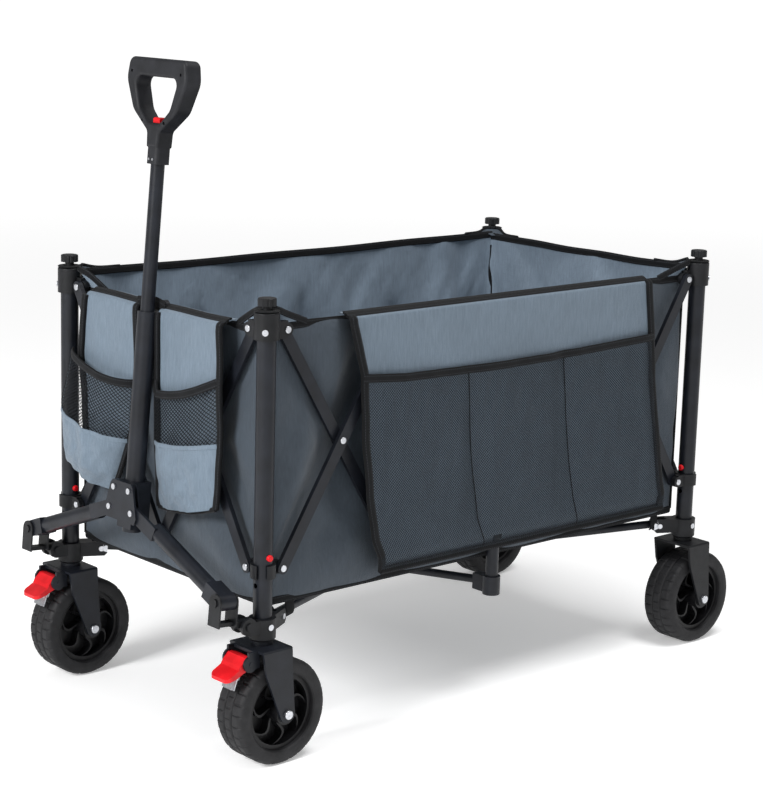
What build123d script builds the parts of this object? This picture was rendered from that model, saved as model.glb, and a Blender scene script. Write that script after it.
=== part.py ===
from build123d import *
import math
import os

# Folding fabric wagon. X runs along the wagon with the pull handle at the -X end,
# Y runs across it and Z is up. The origin is on the floor under the middle of the overall
# length. Shapes are drawn from the middle of the four posts and moved by SHIFT when saved.

# ---- driving dimensions, mm and degrees ----
CELL = 217.0                # width of one scissor cell, the same on all four sides
LONG_CELLS = 4
SHORT_CELLS = 2
EAR = 31.0                  # from a post's axis to the scissor pivot beside it
Z_TOP = 640.0               # upper scissor pivots
Z_LOW = 290.0               # lower scissor pivots
FOLD_DEG = 23.8             # swing of a bar from open to folded

POST_R = 14.0
POST_WALL = 1.5
POST_BOTTOM = 196.0
POST_TOP = 664.0
HEAD_R = 18.5
HEAD_BOTTOM = 628.0
HEAD_TOP = 667.0
KNOB_STEM_R = 7.0
KNOB_R = 13.5
KNOB_BOTTOM = 676.0
KNOB_TOP = 687.0
CLAMP_R = 20.0
CLAMP_BOTTOM = 188.0
CLAMP_TOP = 221.0
EAR_REACH = 58.0            # lug for the floor brace, from the post's axis
EAR_WIDE = 26.0
COLLAR_BELOW = 9.0          # collar height below and above its pivot
COLLAR_ABOVE = 11.0

BAR_W = 18.0
BAR_T = 7.0
BAR_WEB = 1.6
BAR_GAP = 1.0               # from the side's middle plane to a bar's near face
RIVET_R = 3.0
RIVET_HEAD_R = 5.2
RIVET_HEAD_T = 1.5
RUNNING = 0.08              # radial clearance of a pin that turns
FIT = 0.03                  # radial clearance of a pin that is held

EAR_NEAR = 0.7              # an ear tab's near and far faces from the side's middle plane
EAR_FAR = 9.4
EAR_TIP_R = 9.5

WHEEL_R = 80.0
TYRE_W = 60.0
TRAIL = 18.0                # axle behind the post's axis
LEG_IN = 36.0               # fork leg's inner face from the wheel's middle
LEG_T = 4.0
AXLE_R = 4.0
CROWN_BOTTOM = 172.0
CROWN_TOP = 182.0
CROWN_FRONT = -28.0
CROWN_BACK = 25.0

LINER_X = 451.5             # half length and half width of the fabric tub, outside
LINER_Y = 234.5
LINER_T = 2.5
LINER_BOTTOM = 246.0
LINER_TOP = 642.0
LINER_CUT = 7.0             # corner cut that clears the posts
MAT_T = 8.0

TILT_X = -34.0              # handle hinge from the front posts' axis, and its height
TILT_Z = 215.0
TILT_PIN_R = 4.0
LEAN_DEG = 4.7              # the handle's backward lean when it stands up
TUBE_X = -28.0              # handle tube's axis in front of the hinge
ARM_X = -36.0               # arm's axis in front of the hinge
ARM_LOW_Z = 37.0            # arm pivots above the hinge, and across the wagon
ARM_HIGH_Z = 120.0
ARM_LOW_Y = 244.0
ARM_HIGH_Y = 28.0
ARM_R = 12.5
LOWER_R = 14.5
LOWER_BOTTOM = 86.0
LOWER_TOP = 415.0
UPPER_R = 10.4
UPPER_INSIDE = 75.0
GRIP_BOTTOM = 636.0
GRIP_TOP = 789.0
GRIP_T = 30.0
GRIP_BORE = 682.0
WINDOW_LOW = 696.0
WINDOW_TOP = 762.0

BUTTON_Z = 312.0
BUTTON_R = 4.8
BUTTON_OUT = 4.0

SHIFT = -5.92               # the posts' middle from the middle of the overall length
POST_X = LONG_CELLS * CELL / 2 + EAR
POST_Y = SHORT_CELLS * CELL / 2 + EAR
CORNERS = {
    "front_left": (-1, -1),
    "front_right": (-1, 1),
    "rear_left": (1, -1),
    "rear_right": (1, 1),
}
BUTTON_WAY = {
    "front_left": (0, -1),
    "front_right": (0, -1),
    "rear_left": (-1, 0),
    "rear_right": (-1, 0),
}
BAR_LENGTH = math.hypot(CELL, Z_TOP - Z_LOW)
BAR_DEG = math.degrees(math.atan2(CELL, Z_TOP - Z_LOW))
HINGE_X = -POST_X + TILT_X

os.makedirs("parts", exist_ok=True)


def save(name, solids):
    """Write one node: a solid, or a group of separate solids."""
    parts = [Pos(SHIFT, 0, 0) * s for item in solids for s in item.solids()]
    export_step(parts[0] if len(parts) == 1 else Compound(children=parts), f"parts/{name}.step")


def rod(radius, height, at=(0, 0, 0)):
    """Upright cylinder standing on the given point."""
    return Pos(*at) * Cylinder(radius, height, align=(Align.CENTER, Align.CENTER, Align.MIN))


def span(low, high):
    """Box between two corners."""
    size = [b - a for a, b in zip(low, high)]
    return Pos(*low) * Box(*size, align=(Align.MIN, Align.MIN, Align.MIN))


def across(radius, start, length, way):
    """Cylinder that starts at a point and runs along a direction."""
    return Plane(origin=start, z_dir=way) * Cylinder(
        radius, length, align=(Align.CENTER, Align.CENTER, Align.MIN)
    )


# short leg under the middle of each long side
LEG_TUBE_R = 10.0
LEG_BOTTOM = 170.0
LEG_FORK_IN = 8.5           # fork cheeks on both sides of the two bars that meet there
LEG_FORK_OUT = 11.0
LEG_FORK_LOW = 262.0

# ---- scissor sides ----
# A side is drawn in its own frame: u along the side from its first post, v outwards
# from the side's middle plane, z up. side_place turns that frame to its place.
SIDES = {
    "left": ("front_left", (1, 0), (0, -1), LONG_CELLS),
    "right": ("front_right", (1, 0), (0, 1), LONG_CELLS),
    "front": ("front_left", (0, 1), (-1, 0), SHORT_CELLS),
    "rear": ("rear_left", (0, 1), (1, 0), SHORT_CELLS),
}


def corner_point(corner):
    sx, sy = CORNERS[corner]
    return sx * POST_X, sy * POST_Y


def side_point(side, u, v, z):
    """A point of a side's own frame, in the wagon's frame."""
    corner, along, out, _ = SIDES[side]
    x, y = corner_point(corner)
    return (x + along[0] * u + out[0] * v, y + along[1] * u + out[1] * v, z)


def out_way(side, sign=1):
    out = SIDES[side][2]
    return (sign * out[0], sign * out[1], 0)


def bar(side, start, end, near, far, open_outwards):
    """U-channel bar between two pivots, with a hole at each end and at its middle."""
    along = Vector(*side_point(side, end[0], 0, end[1])) - Vector(*side_point(side, start[0], 0, start[1]))
    way = out_way(side)
    plane = Plane(origin=side_point(side, start[0], near, start[1]), x_dir=along, z_dir=way)
    thick = far - near
    outline = SlotCenterToCenter(BAR_LENGTH, BAR_W)
    body = extrude(Pos(BAR_LENGTH / 2, 0) * outline, thick)
    hollow = extrude(Pos(BAR_LENGTH / 2, 0) * SlotCenterToCenter(BAR_LENGTH, BAR_W - 2 * BAR_WEB), thick - BAR_WEB)
    body -= Pos(0, 0, BAR_WEB if open_outwards else 0) * hollow
    return plane, body


def rivet(side, u, z, low, high):
    """Rivet through the stack between two offsets from the side's middle plane."""
    way = out_way(side)
    shank = across(RIVET_R, side_point(side, u, low, z), high - low, way)
    head = across(RIVET_HEAD_R, side_point(side, u, high, z), RIVET_HEAD_T, way)
    tail = across(RIVET_HEAD_R - 1, side_point(side, u, low - RIVET_HEAD_T, z), RIVET_HEAD_T, way)
    return fillet(head.edges().group_by(Axis(side_point(side, u, 0, z), way))[-1], 1.0) + shank + tail


def drilled(plane, body, own):
    """Bar body with its three holes: own marks those that hold the bar's own rivets."""
    for at, held in zip((0, BAR_LENGTH / 2, BAR_LENGTH), own):
        radius = RIVET_R + (FIT if held else RUNNING)
        body -= Pos(at, 0, -BAR_T) * Cylinder(radius, 4 * BAR_T)
    return plane * body


HEAD_GAP = 0.15             # between a rivet's head and the face it turns on


def down_bar(side, cell):
    """Inner bar that falls from its front pivot, with the rivets of its three pivots."""
    last = SIDES[side][3]
    u0 = EAR + (cell - 1) * CELL
    plane, body = bar(side, (u0, Z_TOP), (u0 + CELL, Z_LOW), -BAR_GAP - BAR_T, -BAR_GAP, False)
    low = -BAR_GAP - BAR_T - HEAD_GAP
    bar_top = BAR_GAP + BAR_T + HEAD_GAP
    ear_top = EAR_FAR + HEAD_GAP
    tops = (ear_top if cell == 1 else bar_top, bar_top, ear_top if cell == last else bar_top)
    places = ((u0, Z_TOP), (u0 + CELL / 2, (Z_TOP + Z_LOW) / 2), (u0 + CELL, Z_LOW))
    lows = (low, low, low)
    if last == LONG_CELLS and 2 * cell == last:
        lows, tops = (low, low, -LEG_FORK_OUT - HEAD_GAP), (tops[0], tops[1], LEG_FORK_OUT + HEAD_GAP)
    rivets = [rivet(side, u, z, a, b) for (u, z), a, b in zip(places, lows, tops)]
    return [drilled(plane, body, (True, True, True))] + rivets


def up_bar(side, cell):
    """Outer bar that rises from its front pivot, with a rivet only where it meets an ear."""
    last = SIDES[side][3]
    u0 = EAR + (cell - 1) * CELL
    plane, body = bar(side, (u0, Z_LOW), (u0 + CELL, Z_TOP), BAR_GAP, BAR_GAP + BAR_T, False)
    own = (cell == 1, False, cell == last)
    solids = [drilled(plane, body, own)]
    for held, (u, z) in zip((own[0], own[2]), ((u0, Z_LOW), (u0 + CELL, Z_TOP))):
        if held:
            solids.append(rivet(side, u, z, -EAR_FAR - HEAD_GAP, BAR_GAP + BAR_T + HEAD_GAP))
    return solids


def make_bars():
    for side, (_, _, _, cells) in SIDES.items():
        for cell in range(1, cells + 1):
            save(f"{side}_bar_down_{cell}", down_bar(side, cell))
            save(f"{side}_bar_up_{cell}", up_bar(side, cell))


# ---- corner posts and what is fixed to them ----
def ears(corner, z, below, above, upper):
    """The two tabs of a bracket, one along each side that meets at the corner."""
    sx, sy = CORNERS[corner]
    tabs = Part()
    for side, (first, _, _, cells) in SIDES.items():
        starts = corner == first
        ends = corner != first and side_reaches(side, corner)
        if not (starts or ends):
            continue
        length = cells * CELL + 2 * EAR
        u_post, u_pivot = (0, EAR) if starts else (length, length - EAR)
        outer = starts == upper
        near, far = (EAR_NEAR, EAR_FAR) if outer else (-EAR_FAR, -EAR_NEAR)
        lower_z, upper_z = z - below, z + above
        post = Vector(*side_point(side, u_post, near, lower_z))
        tip = Vector(*side_point(side, u_pivot, far, upper_z))
        low = [min(a, b) for a, b in zip(post, tip)]
        high = [max(a, b) for a, b in zip(post, tip)]
        tab = span(low, high) + across(
            EAR_TIP_R if below > EAR_TIP_R else below,
            side_point(side, u_pivot, near, z),
            far - near,
            out_way(side),
        )
        tab -= across(RIVET_R + RUNNING, side_point(side, u_pivot, near - 1, z), far - near + 2, out_way(side))
        tabs += tab
    return tabs


def side_reaches(side, corner):
    """True if the side ends at this corner."""
    first, along, _, cells = SIDES[side]
    x, y = corner_point(first)
    length = cells * CELL + 2 * EAR
    end = (x + along[0] * length, y + along[1] * length)
    return math.dist(end, corner_point(corner)) < 1


def make_post(corner):
    x, y = corner_point(corner)
    bx, by = BUTTON_WAY[corner]
    tube = rod(POST_R, POST_TOP - POST_BOTTOM, (x, y, POST_BOTTOM))
    tube -= rod(POST_R - POST_WALL, POST_TOP - POST_BOTTOM, (x, y, POST_BOTTOM))
    tube -= across(BUTTON_R + RUNNING, (x, y, BUTTON_Z), POST_R * 2, (bx, by, 0))
    tube -= across(4.0, (x, y, Z_LOW - 20), POST_R * 2, (-1, 0, 0))
    save(f"corner_post_{corner}", [tube])


def make_button(corner):
    """Spring button in the post: a domed pin with a wide foot inside the tube."""
    x, y = corner_point(corner)
    bx, by = BUTTON_WAY[corner]
    start = POST_R - POST_WALL - 5.0
    foot_at = (x + bx * (start - 2), y + by * (start - 2), BUTTON_Z)
    pin = across(BUTTON_R, foot_at, POST_R + BUTTON_OUT - start + 2, (bx, by, 0))
    pin = fillet(pin.edges().group_by(Axis((x, y, BUTTON_Z), (bx, by, 0)))[-1], 2.0)
    save(f"lock_button_{corner}", [pin])


def knob(x, y):
    """Knurled cap on a stem, with a plug that sits in the post's top."""
    plug = rod(POST_R - POST_WALL - FIT, 14, (x, y, POST_TOP - 14))
    stem = rod(KNOB_STEM_R, KNOB_BOTTOM - POST_TOP, (x, y, POST_TOP))
    head = rod(KNOB_R, KNOB_TOP - KNOB_BOTTOM, (x, y, KNOB_BOTTOM))
    head = fillet(head.edges().group_by(Axis.Z)[-1], 2.0)
    for i in range(12):
        a = math.tau * i / 12
        notch = (x + (KNOB_R + 1.2) * math.cos(a), y + (KNOB_R + 1.2) * math.sin(a), KNOB_BOTTOM - 1)
        head -= rod(2.2, KNOB_TOP - KNOB_BOTTOM + 2, notch)
    return plug + stem + head


def head_bracket(corner):
    """Cap over the post's top with two ears for the scissor bars."""
    x, y = corner_point(corner)
    cap = rod(HEAD_R, HEAD_TOP - HEAD_BOTTOM, (x, y, HEAD_BOTTOM))
    cap = fillet(cap.edges().group_by(Axis.Z)[-1], 2.0)
    cap += ears(corner, Z_TOP, 12.0, 13.0, True)
    sx, sy = CORNERS[corner]
    out = Vector(sx, sy, 0).normalized()
    seat = Vector(x, y, Z_TOP) + out * (HEAD_R - 0.5)
    cap += across(4.5, tuple(seat), 2.0, tuple(out))
    cap -= rod(POST_R + FIT, POST_TOP - HEAD_BOTTOM, (x, y, HEAD_BOTTOM))
    cap -= rod(KNOB_STEM_R + FIT, HEAD_TOP, (x, y, HEAD_BOTTOM))
    return cap


def base_clamp(corner):
    """Socket round the post's foot. At the front it has two cheeks for the handle hinge."""
    x, y = corner_point(corner)
    body = rod(CLAMP_R, CLAMP_TOP - CLAMP_BOTTOM, (x, y, CLAMP_BOTTOM))
    body = chamfer(body.edges().group_by(Axis.Z)[0], 3.0)
    if CORNERS[corner][0] < 0:
        tip = HINGE_X
        block = span((tip, y - 14, TILT_Z - 13), (x, y + 14, CLAMP_TOP))
        block += across(13.0, (tip, y - 14, TILT_Z), 28, (0, 1, 0))
        block = block & span((tip - 20, y - 14, 0), (x, y + 14, CLAMP_TOP + 7))
        block -= span((tip - 30, y - 8, 0), (x - CLAMP_R + 3, y + 8, 400))
        block -= across(TILT_PIN_R + RUNNING, (tip, y - 20, TILT_Z), 40, (0, 1, 0))
        body += block
    body += brace_ear(corner)
    body -= rod(POST_R + FIT, 60, (x, y, POST_BOTTOM))
    way = 1 if CORNERS[corner][1] > 0 else -1
    seat = (x, y + way * (CLAMP_R - 0.6), CLAMP_BOTTOM + 22)
    return body + across(4.5, seat, 1.8, (0, way, 0))


def brace_ear(corner):
    """Lug that reaches towards the wagon's middle, where the brace under the floor is pinned."""
    x, y = corner_point(corner)
    turn = math.degrees(math.atan2(-y, -x))
    lug = span((0, -EAR_WIDE / 2, CLAMP_BOTTOM + 10), (EAR_REACH, EAR_WIDE / 2, CLAMP_TOP))
    slot = span((EAR_REACH - 24, -6, CLAMP_BOTTOM), (EAR_REACH + 1, 6, Z_TOP))
    lug = chamfer(lug.edges().filter_by(Axis.Y).group_by(Axis.X)[-1], 5.0) - slot
    screw = across(4.2, (EAR_REACH - 10, -EAR_WIDE / 2 - 1.6, CLAMP_BOTTOM + 22), EAR_WIDE + 3.2, (0, 1, 0))
    return Pos(x, y, 0) * Rot(0, 0, turn) * (lug + (screw - slot))


def collar(corner):
    """Slider on the post, cut away on its outer side, with two ears for the bars."""
    x, y = corner_point(corner)
    sx, sy = CORNERS[corner]
    height = COLLAR_BELOW + COLLAR_ABOVE
    ring = rod(HEAD_R, height, (x, y, Z_LOW - COLLAR_BELOW)) + ears(corner, Z_LOW, COLLAR_BELOW, COLLAR_ABOVE, False)
    ring -= rod(POST_R + 0.35, height, (x, y, Z_LOW - COLLAR_BELOW))
    mouth = Box(40, 15, height * 3, align=(Align.MIN, Align.CENTER, Align.CENTER))
    turn = math.degrees(math.atan2(sy, sx))
    return ring - Pos(x, y, Z_LOW) * Rot(0, 0, turn) * mouth


# ---- wheels ----
def fork(corner):
    """Pressed steel fork: crown, two tapering legs and the axle bolt."""
    x, y = corner_point(corner)
    wide = 2 * (LEG_IN + LEG_T)
    crown = span((x + CROWN_FRONT, y - wide / 2, CROWN_TOP - LEG_T), (x + CROWN_BACK, y + wide / 2, CROWN_TOP))
    crown += rod(16.0, CLAMP_BOTTOM - CROWN_TOP, (x, y, CROWN_TOP))
    ax = x + TRAIL
    profile = make_face(
        Polyline(
            (x + CROWN_FRONT, CROWN_TOP),
            (x + CROWN_BACK, CROWN_TOP),
            (x + CROWN_BACK + 1, 150),
            (ax + 13, WHEEL_R + 2),
            (ax - 13, WHEEL_R - 2),
            (x + CROWN_FRONT + 6, 145),
            close=True,
        )
    )
    profile += Pos(ax, WHEEL_R) * Circle(13.0)
    for side in (-1, 1):
        low = y + side * LEG_IN if side > 0 else y - LEG_IN - LEG_T
        leg = extrude(Plane(origin=(0, low, 0), x_dir=(1, 0, 0), z_dir=(0, -1, 0)) * profile, -LEG_T)
        crown += leg
    crown = fillet(crown.edges().filter_by(Axis.X).group_by(Axis.Z)[-1], 3.0)
    crown -= across(AXLE_R + FIT, (ax, y - 60, WHEEL_R), 120, (0, 1, 0))
    bolt = across(AXLE_R, (ax, y - LEG_IN - LEG_T - 1, WHEEL_R), 2 * (LEG_IN + LEG_T + 1), (0, 1, 0))
    for side in (-1, 1):
        seat = (ax, y + side * (LEG_IN + LEG_T), WHEEL_R)
        end = across(7.0, seat, 4.5, (0, side, 0)) - across(AXLE_R, seat, 1, (0, side, 0))
        bolt += fillet(end.edges().group_by(Axis(seat, (0, side, 0)))[-1], 1.5)
    return [crown, bolt]


def brake_cheeks(corner):
    """Black lugs under the crown's front edge that carry the brake pedal's pin."""
    x, y = corner_point(corner)
    lugs = Part()
    for side in (-1, 1):
        low = y + side * 24 - 2
        lug = span((x - 44, low, 156), (x + CROWN_FRONT + 4, low + 4, CROWN_TOP - 0.5))
        lug += across(12.0, (x - 40, low, 164), 4, (0, 1, 0))
        lugs += lug & span((x - 60, low, 150), (x + CROWN_FRONT + 4, low + 4, CROWN_TOP - 0.5))
    web = span((x - 34, y - 24, CROWN_TOP - 5), (x + CROWN_FRONT, y + 24, CROWN_TOP - 0.5))
    lugs += web
    pin = across(3.0, (x - 40, y - 27, 164), 54, (0, 1, 0))
    return lugs - across(3.0 + FIT, (x - 40, y - 30, 164), 60, (0, 1, 0)), pin


RIBS = 7


def rib_outline():
    """Plan of one curved rib of the hub, from its core to its rim."""
    one, other = [], []
    for i in range(9):
        t = i / 8
        r = 15 + 37 * t
        bend = 0.5 * math.sin(math.pi * t)
        for side, row in ((-1, one), (1, other)):
            a = bend + side * 2.0 / r
            row.append((r * math.cos(a), r * math.sin(a)))
    return make_face(Polyline(*one, *reversed(other), close=True))


def wheel(corner):
    """Tyre with grooves, and a spoked hub."""
    x, y = corner_point(corner)
    at = Plane(origin=(x + TRAIL, y, WHEEL_R), z_dir=(0, -1, 0), x_dir=(1, 0, 0))
    half = TYRE_W / 2
    section = Polyline(
        (58, -half + 3), (70, -half), (WHEEL_R - 6, -half), (WHEEL_R, -half + 8), (WHEEL_R, -8),
        (WHEEL_R - 3, -6), (WHEEL_R, -4), (WHEEL_R, 4), (WHEEL_R - 3, 6), (WHEEL_R, 8),
        (WHEEL_R, half - 8), (WHEEL_R - 6, half), (70, half), (58, half - 3), close=True,
    )
    tyre = revolve(Plane.XZ * make_face(section), Axis.Z)
    rim = Cylinder(57.9, 44) - Cylinder(51, 44)
    core = Cylinder(17, 2 * LEG_IN - 1)
    web = Cylinder(52, 5)
    spokes = Part()
    for i in range(RIBS):
        spokes += Rot(0, 0, 360 / RIBS * i) * Pos(0, 0, -18) * extrude(rib_outline(), 36)
    hub = rim + core + web + spokes - Cylinder(AXLE_R + RUNNING, 100)
    return [at * tyre, at * hub]


def pedal(corner):
    """Brake pedal: barrel on its pin, sloping tread and a steel strip over the tyre."""
    x, y = corner_point(corner)
    half = 21.5
    body = side_prism(
        ((x - 32, 171), (x - 45, 173), (x - 55, 163), (x - 58, 157), (x - 79, 146), (x - 79, 141),
         (x - 60, 146), (x - 51, 151), (x - 36, 156)), y - half, y + half)
    body = fillet(body.edges().filter_by(Axis.Z).group_by(Axis.X)[0], 9.0)
    body += across(9.0, (x - 40, y - half, 164), 2 * half, (0, 1, 0))
    strip = side_prism(((x - 44, 152), (x - 46, 152), (x - 51, 138), (x - 49, 138)), y - 10, y + 10)
    return [body - across(3.0 + RUNNING, (x - 40, y - 60, 164), 120, (0, 1, 0)), strip - body]


def side_prism(points, low, high):
    """Solid with a given outline in X and Z, between two values of Y."""
    face = Plane(origin=(0, low, 0), x_dir=(1, 0, 0), z_dir=(0, -1, 0))
    return extrude(face * make_face(Polyline(*points, close=True)), low - high)


def make_corners():
    for corner, (sx, _) in CORNERS.items():
        x, y = corner_point(corner)
        make_post(corner)
        make_button(corner)
        save(f"slide_collar_{corner}", [collar(corner)])
        fittings = [head_bracket(corner), knob(x, y), base_clamp(corner)]
        if sx < 0:
            lugs, pin = brake_cheeks(corner)
            save(f"caster_fork_{corner}", fork(corner) + [lugs, pin])
            save(f"brake_pedal_{corner}", pedal(corner))
            save(f"corner_fittings_{corner}", fittings)
        else:
            save(f"corner_fittings_{corner}", fittings + fork(corner))
        save(f"wheel_{corner}", wheel(corner))


# ---- short leg under the middle of each long side ----
def middle_leg(side):
    """Forked top on the middle lower pivot, a tube and a foot block with an inner ear."""
    middle = SIDES[side][3] / 2 * CELL + EAR
    x, y, _ = side_point(side, middle, 0, 0)
    out = out_way(side)[1]
    tube = rod(LEG_TUBE_R, LEG_FORK_LOW - LEG_BOTTOM - 4, (x, y, LEG_BOTTOM + 4))
    cheeks = span((x - 8, y - LEG_FORK_OUT, LEG_FORK_LOW), (x + 8, y + LEG_FORK_OUT, Z_LOW))
    cheeks += across(8, (x, y - LEG_FORK_OUT, Z_LOW), 2 * LEG_FORK_OUT, (0, 1, 0))
    cheeks -= span((x - 9, y - LEG_FORK_IN, LEG_FORK_LOW + 12), (x + 9, y + LEG_FORK_IN, Z_TOP))
    cheeks -= across(RIVET_R + RUNNING, (x, y - 20, Z_LOW), 40, (0, 1, 0))
    block = rod(14.0, 30, (x, y, LEG_BOTTOM)) + span(
        (x - 9, min(y, y - out * 34), LEG_BOTTOM + 2), (x + 9, max(y, y - out * 34), LEG_BOTTOM + 28)
    )
    block = block - rod(LEG_TUBE_R + FIT, 60, (x, y, LEG_BOTTOM + 4))
    save(f"middle_leg_{side}", [tube + cheeks, block])


# ---- pull handle, drawn upright over its hinge and then leaned back ----
def leaned(solid):
    """Turn the upright handle back about its hinge and set it on the wagon."""
    return Pos(HINGE_X, 0, TILT_Z) * Rot(0, LEAN_DEG, 0) * solid


def upright(radius, low, high, at=TUBE_X):
    return rod(radius, high - low, (at, 0, low))


def clevis(sy):
    """Steel hinge bracket: a lug on the hinge pin, and two plates that hold the arm."""
    y = sy * POST_Y
    arm_y = sy * ARM_LOW_Y
    front, back = ARM_X - ARM_END_T / 2 - 0.5, ARM_X + ARM_END_T / 2 + 0.5
    body = span((back, y - 7.5, -1), (8, y + 7.5, 9)) + across(9, (0, y - 7.5, 0), 15, (0, 1, 0))
    body += span((front - CLEVIS_T, arm_y - 7, 2), (back + CLEVIS_T, arm_y + 7, 8))
    for low, high in ((front - CLEVIS_T, front), (back, back + CLEVIS_T)):
        body += span((low, arm_y - 13, 2), (high, arm_y + 13, ARM_LOW_Z))
        body += across(13, (low, arm_y, ARM_LOW_Z), high - low, (1, 0, 0))
    body -= across(RIVET_R + FIT, (2 * ARM_X, arm_y, ARM_LOW_Z), -2 * ARM_X, (1, 0, 0))
    body -= across(TILT_PIN_R + FIT, (0, y - 30, 0), 60, (0, 1, 0))
    pin = across(TILT_PIN_R, (0, y - 15, 0), 30, (0, 1, 0))
    for way in (-1, 1):
        pin += across(6.0, (0, y + way * 14.3, 0), 2.5, (0, way, 0))
    screw = across(RIVET_R, (front - CLEVIS_T, arm_y, ARM_LOW_Z), back - front + 2 * CLEVIS_T, (1, 0, 0))
    screw += across(6.0, (front - CLEVIS_T, arm_y, ARM_LOW_Z), 2.2, (-1, 0, 0))
    screw += across(6.0, (back + CLEVIS_T, arm_y, ARM_LOW_Z), 2.2, (1, 0, 0))
    return [leaned(s) for s in (body, pin, screw)]


def arm(sy):
    """Steel tube with a moulded end that turns in the clevis and a flat tab at the yoke."""
    low = Vector(ARM_X, sy * ARM_LOW_Y, ARM_LOW_Z)
    high = Vector(ARM_X, sy * ARM_HIGH_Y, ARM_HIGH_Z)
    way = (high - low).normalized()
    reach = (high - low).length
    start = low + way * 16
    tube = across(ARM_R, tuple(start), reach - 16 - ARM_TAB, tuple(way))
    frame = Plane(origin=tuple(low), x_dir=tuple(way), z_dir=(1, 0, 0))
    end = Box(34, 25, ARM_END_T, align=(Align.MIN, Align.CENTER, Align.CENTER))
    block = frame * (Cylinder(12.5, ARM_END_T) + end)
    block -= across(RIVET_R + RUNNING, (2 * ARM_X, low.Y, low.Z), -2 * ARM_X, (1, 0, 0))
    tab_at = ARM_FRONT - ARM_X
    tab = Pos(reach, 0, tab_at) * Cylinder(11.0, TAB_T, align=(Align.CENTER, Align.CENTER, Align.MIN))
    long = ARM_TAB + 10
    tab += Pos(reach - long, 0, tab_at) * Box(long, 22, TAB_T, align=(Align.MIN, Align.CENTER, Align.MIN))
    tab = frame * tab
    tab -= across(RIVET_R + RUNNING, (3 * ARM_X, high.Y, high.Z), -3 * ARM_X, (1, 0, 0))
    return [leaned(s) for s in (tube - block - tab, block, tab)]


ARM_END_T = 27.0            # the moulded arm end between the clevis plates
ARM_TAB = 48.0              # flat end of an arm, from its upper pivot to the tube
CLEVIS_T = 2.5
TAB_T = 5.0
ARM_FRONT = TUBE_X - LOWER_R - 1.5 - TAB_T    # front face of the arms' flat tabs
PLATE_T = 3.0


def yoke():
    """Lower handle tube with its top sleeve, and the moulded yoke with its cover plate."""
    tube = upright(LOWER_R, LOWER_BOTTOM, LOWER_TOP) - upright(LOWER_R - 1.5, LOWER_BOTTOM, LOWER_TOP)
    sleeve = upright(LOWER_R - 1.5 - FIT, LOWER_TOP - 20, LOWER_TOP) + upright(LOWER_R, LOWER_TOP, LOWER_TOP + 4)
    sleeve -= upright(UPPER_R + RUNNING, LOWER_TOP - 30, LOWER_TOP + 10)
    outline = make_face(
        Polyline((-23, 163), (23, 163), (28, 158), (41, 114), (37, 104), (-37, 104), (-41, 114), (-28, 158), close=True)
    )
    face = Plane(origin=(0, 0, 0), x_dir=(0, 1, 0), z_dir=(1, 0, 0))
    front = extrude(face * outline, PLATE_T)
    plate = Pos(ARM_FRONT - 0.5 - PLATE_T, 0, 0) * front
    back_x = TUBE_X - LOWER_R - 1.0
    wrap = Pos(back_x, 0, 0) * extrude(face * outline, 1.0)
    wrap += span((back_x, -LOWER_R - 3, 92), (TUBE_X + LOWER_R + 3, LOWER_R + 3, 163))
    wrap += span((plate_back(), -23, 148), (back_x + 1, 23, 163))
    wrap -= upright(LOWER_R + FIT, 0, LOWER_TOP)
    screws = Part()
    for y, z in ((-19, 152), (19, 152), (-ARM_HIGH_Y, ARM_HIGH_Z), (ARM_HIGH_Y, ARM_HIGH_Z)):
        screws += across(4.5, (ARM_FRONT - 0.5 - PLATE_T, y, z), 2.0, (-1, 0, 0))
    pivot = across(RIVET_R, (plate_back(), -ARM_HIGH_Y, ARM_HIGH_Z), back_x - plate_back(), (1, 0, 0))
    return [leaned(s) for s in (tube, sleeve, plate + screws + pivot, wrap)]


def plate_back():
    """Back face of the yoke's cover plate."""
    return ARM_FRONT - 0.5


def rounded_loop(corners):
    """Closed outline, symmetric across the wagon, from (y, z, corner radius) down its right half."""
    right = [(y, z) for y, z, _ in corners]
    outline = make_face(Polyline(*right, *[(-y, z) for y, z in reversed(right)], close=True))
    for y, z, radius in corners:
        for side in (y, -y):
            found = [v for v in outline.vertices() if abs(v.X - side) < 0.01 and abs(v.Y - z) < 0.01]
            outline = fillet(found, radius)
    return outline


def grip():
    """D-shaped grip: a rounded loop that narrows to a square neck round the tube."""
    face = Plane(origin=(TUBE_X, 0, 0), x_dir=(0, 1, 0), z_dir=(1, 0, 0))
    outer = rounded_loop([(13.5, 660, 0.5), (15, 683, 9), (53, 712, 30), (74, 757, 30), (68, GRIP_TOP, 12)])
    window = rounded_loop([(15, WINDOW_LOW, 13), (37, 716, 20), (53, WINDOW_TOP, 11)])
    body = extrude(face * outer, GRIP_T / 2, both=True) - extrude(face * window, GRIP_T, both=True)
    body = fillet(body.edges().filter_by(lambda e: abs(abs(e.center().X - TUBE_X) - GRIP_T / 2) < 0.5), 5.0)
    neck = Pos(TUBE_X, 0, GRIP_BOTTOM) * Box(27, 27, 40, align=(Align.CENTER, Align.CENTER, Align.MIN))
    body += fillet(neck.edges().filter_by(Axis.Z), 7.0)
    body -= upright(UPPER_R + FIT, GRIP_BOTTOM - 1, GRIP_BORE)
    body -= span((TUBE_X - 8.4, -8.4, GRIP_BORE), (TUBE_X + 8.4, 8.4, WINDOW_LOW + 5))
    for y, z in ((-60, 768), (60, 768), (-27, 697), (27, 697)):
        body -= across(2.4, (TUBE_X - GRIP_T / 2 - 1, y, z), 4, (1, 0, 0))
    heads = Part()
    for y in (-4.5, 4.5):
        for z in (GRIP_BOTTOM + 7, GRIP_BOTTOM + 31):
            heads += across(1.8, (TUBE_X - 13.5, y, z), 0.8, (-1, 0, 0))
    return [leaned(body), leaned(heads)]


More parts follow.
